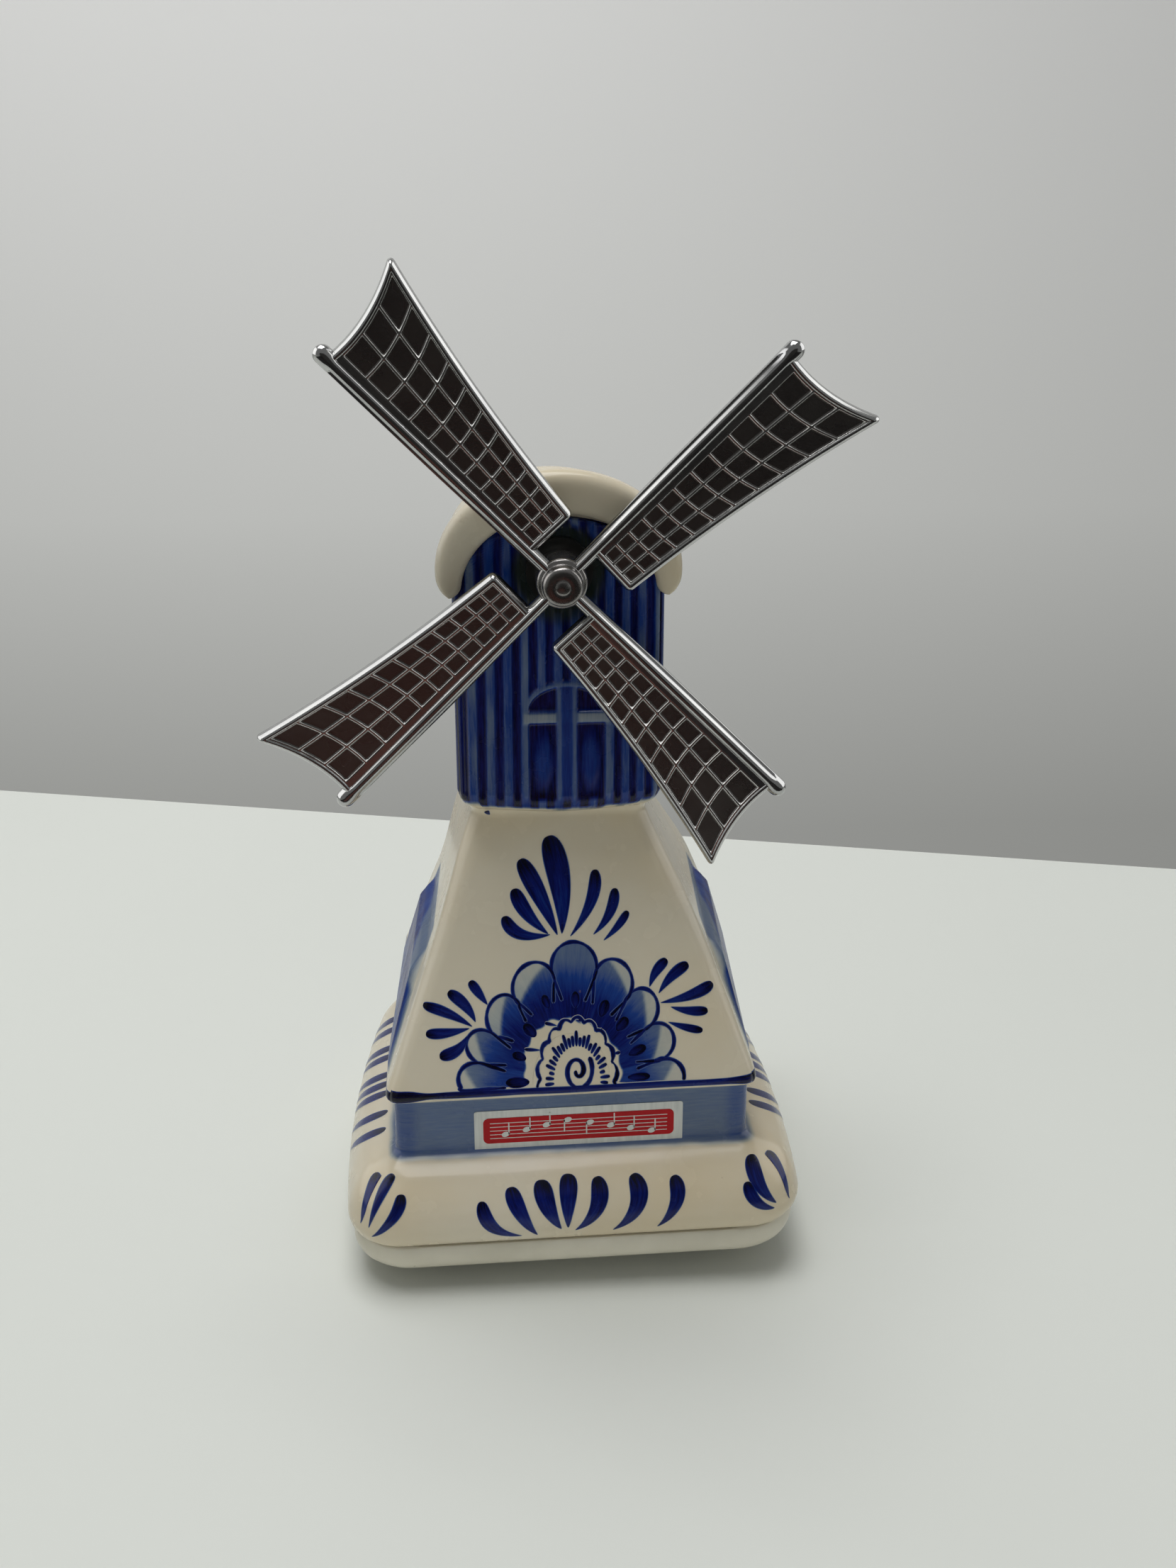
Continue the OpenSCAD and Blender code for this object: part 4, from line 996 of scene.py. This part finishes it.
def ellipse(cx, cz, a, b, tilt=0.0, steps=16):
    """Outline of an ellipse that is turned by tilt."""
    c, s = math.cos(tilt), math.sin(tilt)
    turn = np.linspace(0, 2 * math.pi, steps, endpoint=False)
    x, z = a * np.cos(turn), b * np.sin(turn)
    return np.stack([cx + x * c - z * s, cz + x * s + z * c], -1).tolist()


def foil_material():
    """Brushed silver foil."""
    n = Nodes("label_foil")
    brushed = n.noise(900.0, 3.0, 0.6, n.scale(n.object, (1.0, 1.0, 0.08)))
    silver = n.ramp(brushed, [(0.3, srgb(196, 198, 196)), (0.7, srgb(222, 223, 220))])
    n.set(Metallic=0.85, Base_Color=silver)
    n.set(Roughness=n.range(brushed, 0.3, 0.7, 0.34, 0.44), Normal=n.bump(brushed, 0.1, 0.00004))
    return n.material


def red_material():
    """Red printing ink."""
    n = Nodes("label_red")
    mottle = n.noise(260.0, 4.0)
    n.set(Base_Color=n.ramp(mottle, [(0.3, srgb(162, 14, 22)), (0.7, srgb(178, 22, 30))]), IOR=1.3)
    n.set(Roughness=n.range(mottle, 0.3, 0.7, 0.35, 0.5), Normal=n.bump(mottle, 0.08, 0.00004))
    return n.material


STAVE_GAP = 0.78
NOTES = [(-13.2, -1, 1), (-9.4, 0, 1), (-5.8, 1, 1), (-2.0, 2, -1),
         (2.0, 1, -1), (5.8, 0, 1), (9.4, -1, 1), (13.2, -2, 1)]


def label():
    """A foil plate with a red field, five thin lines and a few notes: a picture and no words. Each note
    has its place along the lines, its step above the middle one and the way that its tail points."""
    foil, red = foil_material(), red_material()
    front, back = LABEL_LOW[1], LABEL_HIGH[1]
    cx, cz = (LABEL_LOW[0] + LABEL_HIGH[0]) / 2, (LABEL_LOW[2] + LABEL_HIGH[2]) / 2
    width, height = LABEL_HIGH[0] - LABEL_LOW[0], LABEL_HIGH[2] - LABEL_LOW[2]
    plate = Shape()
    slab(plate, round_rect(cx, cz, width, height, 0.5), front + 0.06, back + 0.1)
    marks = Shape()
    for step in range(-2, 3):
        stave_line = round_rect(cx, cz + step * STAVE_GAP, width - 5.6, 0.14, 0.06)
        slab(marks, stave_line, front - 0.03, front + 0.04)
    for x, step, tail in NOTES:
        z = cz + step * STAVE_GAP
        head = ellipse(cx + x, z, 0.74, 0.52, 0.35)
        stem = round_rect(cx + x + 0.6 * tail, z + 1.2 * tail, 0.22, 2.5, 0.08)
        for mark in (head, stem):
            slab(marks, mark, front - 0.06, front + 0.04)
    field = Shape()
    slab(field, round_rect(cx, cz, width - 3.2, height - 3.0, 1.0), front, back + 0.1)
    for name, shape, material in (("plate", plate, foil), ("marks", marks, foil), ("field", field, red)):
        piece = shape.build("label_" + name, material, "mill", 30)
        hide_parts("label")


label()


# ---------------------------------------------------------------- sails

INNER_CORNER = np.array([0.14, 0.16]) * SAIL_R
TIP_CORNER = np.array([1.0195, 0.3245]) * SAIL_R
PANEL_NEAR = np.array([[0.147 * SAIL_R, 0.0], [SAIL_R - 2.0, 0.6]])
PANEL_LENGTH = 43.4
BEAD, BEAD_FOOT, BEAD_TOP = 1.0, 0.42, 1.3
RIB_TOP, FLOOR, BACK = 0.95, 0.5, -0.7
FLANGE, FAR_GAP, ROW_GAP = 1.5, 0.36, 0.4
COLUMNS_OF_CELLS, ROWS_OF_CELLS = 3, 11
CELL_WALL = [0.15, 0.2, 0.26, 0.33, 0.39, 0.43, 0.46]


def edge_point(start, end, bow, t):
    """A place along an edge of the blade that bows sideways in the middle."""
    t = t[..., None]
    return start + (end - start) * t + np.array(bow) * 4 * t * (1 - t)


def near_edge(u):
    return edge_point(*PANEL_NEAR, [0, 0], u)


def far_edge(u):
    return edge_point(INNER_CORNER, TIP_CORNER, [0, -0.9], u)


def inner_edge(s):
    return edge_point(PANEL_NEAR[0], INNER_CORNER, [0, 0], s)


def tip_edge(s):
    return edge_point(PANEL_NEAR[1], TIP_CORNER, [-1.3, -0.2], s)


def panel_point(u, s):
    """A place on the blade between its four edges: u runs to the tip and s away from the arm."""
    u3, s3 = u[..., None], s[..., None]
    corners = ((1 - u3) * (1 - s3) * PANEL_NEAR[0] + u3 * (1 - s3) * PANEL_NEAR[1]
               + (1 - u3) * s3 * INNER_CORNER + u3 * s3 * TIP_CORNER)
    across = (1 - s3) * near_edge(u) + s3 * far_edge(u)
    return across + (1 - u3) * inner_edge(s) + u3 * tip_edge(s) - corners


BEAD_INSIDE = [-BEAD_FOOT * k for k in (1.0, 0.85, 0.65, 0.35)] + [0.0]
BEAD_OUTSIDE = [BEAD * k for k in (0.28, 0.5, 0.68, 0.82, 0.93, 0.985, 1.0)]


def rows_and_lines():
    """The ribs between the rows of cells, which grow towards the tip, and the panel's cross lines. Each
    line has its place along the panel and how far it lies beyond the panel's ends."""
    start, stop = ROW_GAP / PANEL_LENGTH, 1 - (ROW_GAP + 0.1) / PANEL_LENGTH
    share = np.arange(ROWS_OF_CELLS + 1) / ROWS_OF_CELLS
    rows = start + (stop - start) * share * (1 + 0.5 * share) / 1.5
    lines = [(0.0, -k) for k in reversed(BEAD_OUTSIDE)]
    lines += [(-k / PANEL_LENGTH, 0.0) for k in reversed(BEAD_INSIDE)]
    for a, b in zip(rows, rows[1:]):
        lines += [(a + w / PANEL_LENGTH, 0.0) for w in CELL_WALL]
        lines += [(mix(a, b, f), 0.0) for f in (0.4, 0.6)]
        lines += [(b - w / PANEL_LENGTH, 0.0) for w in reversed(CELL_WALL)]
    lines += [(1 + k / PANEL_LENGTH, 0.0) for k in BEAD_INSIDE]
    lines += [(1.0, k) for k in BEAD_OUTSIDE]
    return rows, np.array(lines)


def unit(vectors):
    return vectors / np.linalg.norm(vectors, axis=-1)[..., None]


def blade_panel(shape, to_world):
    """One panel as a closed plate with three columns of graded cells and a bead on three edges."""
    rows, lines = rows_and_lines()
    u, over_u = lines[:, :1], lines[:, 1:]
    width = np.linalg.norm(far_edge(u) - near_edge(u), axis=-1)
    cell = (width - FLANGE - FAR_GAP) / COLUMNS_OF_CELLS
    across = [0 * width + w for w in (0.3, 0.9, FLANGE - 0.2)]
    for k in range(COLUMNS_OF_CELLS):
        first = FLANGE + k * cell
        across += [first + w for w in CELL_WALL]
        across += [first + f * cell for f in (0.36, 0.5, 0.64)]
        across += [first + cell - w for w in reversed(CELL_WALL)]
    across += [width + k for k in BEAD_INSIDE]
    over_s = [0.0] * len(across) + BEAD_OUTSIDE
    across += [width] * len(BEAD_OUTSIDE)
    y = np.concatenate(across, axis=1)
    s = y / width
    u = np.broadcast_to(u, s.shape)
    # beyond an edge the surface goes on outwards, and turns the corners in a circle
    over_u, over_s = np.broadcast_arrays(over_u, np.array(over_s)[None, :])
    both = np.hypot(over_u, over_s)
    limit = np.where(both > 0, np.maximum(np.abs(over_u), over_s) / np.maximum(both, 1e-9), 1)
    outward = both * limit
    tangent = unit(tip_edge(s) - inner_edge(s))
    normal = unit(far_edge(u) - near_edge(u))
    flat = panel_point(u, s) + tangent * (over_u * limit)[..., None] + normal * (over_s * limit)[..., None]
    # height: cell floors, ribs and beads
    from_row = np.abs(u[..., None] - rows).min(-1) * PANEL_LENGTH
    lines = FLANGE + np.arange(COLUMNS_OF_CELLS + 1) * cell[..., None]
    from_column = np.abs(y[..., None] - lines).min(-1)
    inside = (u > rows[0]) & (u < rows[-1]) & (y > FLANGE) & (y < width - FAR_GAP)
    floor = smooth(0.16, 0.42, np.minimum(from_row, from_column)) * inside
    height = RIB_TOP - (RIB_TOP - FLOOR) * floor
    edge = np.minimum(np.minimum(width - y, u * PANEL_LENGTH), (1 - u) * PANEL_LENGTH)
    dome = np.sqrt(np.clip(1 - (np.clip(edge, 0, BEAD_FOOT) / BEAD_FOOT) ** 2, 0, 1))
    height = np.where(edge < BEAD_FOOT, RIB_TOP + (BEAD_TOP - RIB_TOP) * dome, height)
    side = np.sqrt(np.clip(1 - (outward / BEAD) ** 2, 0, 1))
    height = np.where(outward > 0, BACK + (BEAD_TOP - BACK) * side, height)
    front = np.dstack([flat, height])
    back = np.dstack([flat, BACK + 0.25 * (1 - side)])
    points = np.concatenate([front.reshape(-1, 3), back.reshape(-1, 3)])
    grain = np.concatenate([floor.ravel(), np.full(floor.size, 0.5)])
    # the rib tops between the cells, where the chrome gets its painted highlight
    rib = np.concatenate([((1 - floor) * inside).ravel(), np.zeros(floor.size)])
    shape.add(to_world(points), plate_faces(*height.shape), grain=grain, rib=rib)


KNOB_R, KNOB_MIDDLE = 1.55, 0.3


def blade_arm(shape, to_world):
    """The arm beside a panel: a rounded ridge on a narrow flange, with a round knob at its end."""
    side = np.array([1.3, 1.5, 1.5, 1.42, 1.2, 1.0, 0.86, 0.68, 0.4])
    rise = np.array([BACK, -0.45, 0.35, 0.55, 0.6, 0.68, 1.05, 1.36, 1.55])
    y = np.concatenate([-side, [0.0], side[::-1]])
    z = np.concatenate([rise, [1.62], rise[::-1]])
    knob = 1.5 * np.sqrt(np.clip(1 - (y / KNOB_R) ** 2, 0, 1))
    knob = 1.06 * np.where(z < KNOB_MIDDLE, z, np.maximum(knob, KNOB_MIDDLE))
    sections = []
    for x in [*np.linspace(3.2, SAIL_R - 3.0, 24), *(SAIL_R - k for k in (2.4, 1.9, 1.4, 0.9, 0.4))]:
        t = smooth(SAIL_R - 3.0, SAIL_R - 1.4, x)
        widen = mix(0.82, 1.0, smooth(4, 30, x)) + 0.02 * t
        sections.append(np.stack([0 * y + x, y * widen, mix(z, knob, t)], -1))
    for a in np.radians([15, 30, 45, 60, 72, 82, 88]):
        c, s = math.cos(a), math.sin(a)
        x = 0 * y + SAIL_R - 0.4 + KNOB_R * s
        sections.append(np.stack([x, y * 1.02 * c, mix(KNOB_MIDDLE, knob, c)], -1))
    ends = [to_world(section.mean(0)) for section in (sections[0], sections[-1])]
    ring_sweep(shape, ends, [to_world(section) for section in sections], grain=0.0)


def revolve(shape, profile, place, steps=72, **values):
    """A closed solid of revolution: profile lists radius and height, from one end of the axis to the
    other."""
    turn = np.linspace(0, 2 * math.pi, steps, endpoint=False)
    sections = [place(np.stack([r * np.cos(turn), r * np.sin(turn), 0 * turn + h], -1))
                for r, h in profile[1:-1]]
    ends = [place(np.array([0, 0, h])) for h in (profile[0][1], profile[-1][1])]
    ring_sweep(shape, ends, sections, **values)


def in_front(points, angle=0.0):
    """Sail coordinates (x and y in the sails' plane, z towards the viewer) to the CAD frame."""
    c, s = math.cos(angle), math.sin(angle)
    x, y, z = points[..., 0], points[..., 1], points[..., 2]
    return np.stack([x * c - y * s, SAIL_Y - z, HUB_Z + x * s + y * c], -1)


def sails():
    """The chromed casting: four blades a quarter turn apart, and the domed hub with its pin."""
    shape = Shape()
    for k in range(4):
        angle = math.radians(45 + 90 * k)

        def blade(points):
            return in_front(points * np.array([1, -1, 1]), angle)

        blade_panel(shape, blade)
        blade_arm(shape, blade)
    hub_back = SAIL_Y - (BUSHING_LOW[1] - 1.2)
    bore = [(0, 2.0), (1.2, 2.0), (1.2, hub_back)]
    flange = [(3.7, hub_back), (4.2, hub_back + 0.5), (4.2, 0.6), (4.15, 1.0), (4.0, 1.3), (3.75, 1.45)]
    boss = [(3.45, 1.52), (3.34, 1.65), (3.32, 2.9), (3.25, 3.25), (3.08, 3.55), (2.8, 3.76), (2.45, 3.86),
            (1.9, 3.92), (1.4, 3.93)]
    pin = [(1.26, 3.86), (1.18, 3.9), (1.15, 4.02), (1.02, 4.12), (0, 4.16)]
    revolve(shape, bore + flange + boss + pin, in_front, grain=0.9)
    return shape.build("sail_casting", CHROME, "sails", 38)


sail_piece = sails()
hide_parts("sail_cross")


# ---------------------------------------------------------------- bottom cover

def bottom_cover():
    """The moulded tray under the ceramic, with the round recess that the key turns in."""
    side, share = side_columns([48] * 4)
    half = (COVER_HIGH[0] - COVER_LOW[0]) / 2
    foot, top = COVER_LOW[2], SEAM_Z + 0.2
    arbor_low, arbor_high = cad_box("winding_arbor")
    key_y = (arbor_low[1] + arbor_high[1]) / 2
    direction = square_ring(half, 10.0, 0, side, share)
    angle = np.arctan2(direction[:, 1] - key_y, direction[:, 0])

    def circle(radius, z):
        return np.stack([radius * np.cos(angle), key_y + radius * np.sin(angle), 0 * angle + z], -1)

    outside = [(half - 0.25, 10.0, SEAM_Z - 0.15), (half, 10.0, SEAM_Z - 0.5), (half, 10.0, foot + 3.4),
               (half - 0.2, 9.8, foot + 2.4), (half - 0.7, 9.4, foot + 1.4), (half - 1.5, 8.8, foot + 0.6),
               (half - 2.5, 8.0, foot + 0.15), (half - 3.6, 7.2, foot)]
    recess = [(18.4, foot), (17.5, foot + 0.1), (17.0, foot + 0.6), (17.0, top - 0.6), (16.7, top),
              (4.0, top), (3.6, top + 0.3), (3.6, top + 2.2), (16.0, top + 2.2), (19.0, top + 1.8),
              (19.0, foot + 2.2)]
    inside = [(half - 6.6, 6.0, foot + 2.0), (half - 6.0, 6.0, foot + 2.4), (half - 6.0, 6.0, SEAM_Z + 3),
              (half - 4.3, 7.0, SEAM_Z + 3), (half - 4.3, 7.0, SEAM_Z + 0.05)]
    rings = [settle(square_ring(*ring, side, share)) for ring in outside]
    rings += [circle(*ring) for ring in recess]
    rings += [settle(square_ring(*ring, side, share)) for ring in inside]
    points = np.array(rings)
    shape = Shape()
    shape.add(points, grid_faces(*points.shape[:2], wrap_rows=True, wrap_cols=True))
    return shape.build("cover_tray", COVER_PLASTIC, "mill", 50)


COVER_PLASTIC = plastic_material("cover_plastic", srgb(206, 201, 183), srgb(218, 213, 196), 0.34, 0.25)
cover = bottom_cover()
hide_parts("bottom_cover")


# ---------------------------------------------------------------- movement and fittings

STEEL = metal_material("bright_steel", srgb(168, 170, 172), srgb(200, 201, 203), 0.26)
BRASS = metal_material("rolled_brass", srgb(176, 140, 72), srgb(206, 172, 98), 0.3)
ZINC = metal_material("zinc_plate", srgb(150, 152, 154), srgb(184, 186, 188), 0.38, 220.0)
NICKEL = metal_material("key_nickel", srgb(178, 174, 166), srgb(204, 200, 192), 0.22)
SPRING = metal_material("spring_steel", srgb(70, 76, 92), srgb(104, 110, 122), 0.3, 500.0)
NYLON = plastic_material("gear_nylon", srgb(222, 216, 198), srgb(236, 231, 216), 0.42, 0.15)
BLACK = plastic_material("black_plastic", srgb(16, 17, 16), srgb(27, 28, 26), 0.36)
RUBBER = plastic_material("foot_rubber", srgb(38, 38, 37), srgb(54, 53, 51), 0.7, 0.0, 0.3)
FINISHES = {
    STEEL: ["cover_screws", "drive_shaft", "sail_shaft", "winding_arbor", "cylinder_shaft",
            "cylinder_pinion", "comb_screws", "governor_screw", "governor_shaft", "comb"],
    BRASS: ["movement_bed", "cylinder_bearing", "barrel_gear", "shaft_coupling", "music_cylinder",
            "cylinder_gear", "governor_wheel"],
    ZINC: ["spring_barrel", "gear_bracket", "governor_bracket"],
    NICKEL: ["winding_key"],
    SPRING: ["mainspring", "clutch_spring"],
    NYLON: ["drive_crown_gear", "sail_pinion", "governor_worm", "governor_fan"],
    BLACK: ["front_bushing", "bushing_nut"],
    RUBBER: ["rubber_feet"],
}
for finish, names in FINISHES.items():
    for name in names:
        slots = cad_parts[name].data.materials
        slots.clear()
        slots.append(finish)


# ---------------------------------------------------------------- camera, light and stage

def add_camera():
    """Stands where the photograph was taken from: a little to the left, looking 21 degrees down."""
    data = bpy.data.cameras.new("camera")
    data.sensor_fit = "VERTICAL"
    data.sensor_height = data.sensor_width = 36
    data.lens = 40.6
    camera = bpy.data.objects.new("camera", data)
    camera.location = Vector((-15.2, -306.0, 201.9)) * MM
    camera.rotation_euler = (math.radians(90 - 21.3), 0, math.radians(-4.0))
    bpy.context.scene.collection.objects.link(camera)
    bpy.context.scene.camera = camera


def add_light(name, place, target, size, power, size_y=None):
    """An area light that points at a target."""
    data = bpy.data.lights.new(name, "AREA")
    data.shape = "RECTANGLE"
    data.size, data.size_y = size, size_y or size
    data.energy = power
    light = bpy.data.objects.new(name, data)
    light.location = place
    light.rotation_euler = (Vector(target) - Vector(place)).to_track_quat("-Z", "Y").to_euler()
    bpy.context.scene.collection.objects.link(light)
    return light


def stage_plate(name, corners, material):
    """One flat sheet of the stage, in metres."""
    mesh = bpy.data.meshes.new(name)
    mesh.from_pydata(corners, [], [list(range(len(corners)))])
    mesh.materials.append(material)
    obj = bpy.data.objects.new(name, mesh)
    bpy.context.scene.collection.objects.link(obj)
    return obj


def lying(x0, x1, y0, y1, z):
    """Corners of a level rectangle."""
    return [(x0, y0, z), (x1, y0, z), (x1, y1, z), (x0, y1, z)]


def facing(x0, x1, y, z0, z1):
    """Corners of an upright rectangle across the view."""
    return [(x0, y, z0), (x1, y, z0), (x1, y, z1), (x0, y, z1)]


def stage_material(name, stops, axis=None, low=0.0, high=1.0, rough=0.6, glow=0.0):
    """A matt surface with a faint mottle, or shaded along an axis. glow is light of its own."""
    n = Nodes(name)
    if axis is None:
        n.set(Base_Color=n.ramp(n.noise(3.0, 2.0), stops))
    else:
        parts = n.node("ShaderNodeSeparateXYZ", {"Vector": n.object}).outputs
        n.set(Base_Color=n.ramp(n.range(parts[axis], low, high), stops))
    n.set(Roughness=rough, Specular_IOR_Level=0.3)
    if glow:
        n.set(Emission_Color=(1.0, 1.0, 0.99, 1), Emission_Strength=glow)
    return n.material


def glossy_card(name, corners, material):
    """A sheet that is seen only in reflections, like the room in front of a polished object."""
    card = stage_plate(name, corners, material)
    card.visible_camera = card.visible_diffuse = card.visible_shadow = card.visible_transmission = False


def build_stage():
    """A pale table whose far edge runs down to the right, a wall behind it, and the cards."""
    table = stage_material("stage_table", [(0.3, srgb(222, 225, 219)), (0.7, srgb(226, 229, 223))])
    edge_left, edge_right = (-0.162, 0.2179), (0.180, 0.1338)
    slope = (edge_right[1] - edge_left[1]) / (edge_right[0] - edge_left[0])
    far = 1.6
    stage_plate("stage_table_top", [(-far, -1.4, 0), (far, -1.4, 0),
                                    (far, edge_right[1] + slope * (far - edge_right[0]), 0),
                                    (-far, edge_left[1] + slope * (-far - edge_left[0]), 0)], table)
    # Painted shade and painted light: the wall's colour darkens towards the table, standing in for the
    # light falling off there, and it glows faintly though it is no lamp.
    wall = stage_material("stage_wall", [(0.0, srgb(190, 191, 186)), (0.4, srgb(236, 237, 233)),
                                         (1.0, srgb(240, 240, 238))], 2, -0.35, 0.3, 0.9, 0.1)
    stage_plate("stage_wall_sheet", facing(-3, 3, 1.0, -1.2, 1.6), wall)
    # Painted reflections: the dark, dim and brown sheets are seen only in reflections, where they darken
    # and tint what the chrome and glaze reflect in front.
    dark = stage_material("stage_dark", [(0.3, srgb(30, 29, 29)), (0.7, srgb(36, 34, 34))], rough=0.9)
    dim = stage_material("stage_dim", [(0.3, srgb(54, 53, 52)), (0.7, srgb(62, 60, 59))], rough=0.9)
    brown = stage_material("stage_brown", [(0.3, srgb(92, 56, 48)), (0.7, srgb(100, 62, 54))], rough=0.9)
    glossy_card("stage_card_front", lying(-0.5, 0.5, -1.38, -0.13, 0.003), dark)
    glossy_card("stage_card_behind_camera", facing(-0.36, 0.36, -0.75, 0.004, 0.42), dim)
    # Glowing pale sheets at both sides, seen only in reflections: they paint highlights on the glaze and
    # the chrome.
    pale = stage_material("stage_pale", [(0.3, srgb(228, 228, 226)), (0.7, srgb(234, 234, 232))], glow=1.2)
    for x in (-0.7, 0.7):
        corners = [(x, y, z) for y, z in ((-0.25, 0.1), (0.75, 0.1), (0.75, 0.9), (-0.25, 0.9))]
        glossy_card("stage_card_side", corners, pale)
    glossy_card("stage_card_brown", lying(-0.13, 0.045, -0.62, -0.2, 0.005), brown)


world = bpy.data.worlds.new("studio")
world.use_nodes = True
background = world.node_tree.nodes["Background"]
background.inputs["Color"].default_value = (0.80, 0.81, 0.80, 1)
background.inputs["Strength"].default_value = 0.25
bpy.context.scene.world = world
bpy.context.scene.view_settings.view_transform = "Standard"
add_camera()
build_stage()
add_light("ceiling", (-0.1, 0.07, 0.95), (0, 0, 0.05), 0.6, 6.1)
add_light("wall_wash", (-0.7, 0.1, 1.3), (-0.2, 1.0, 0.35), 0.7, 1.45).data.spread = 1.3
low_fill = add_light("low_fill", (-0.02, -0.42, 0.07), (0.0, -0.04, 0.008), 0.5, 0.036, size_y=0.08)
low_fill.data.spread = 0.9
low_fill.visible_glossy = False
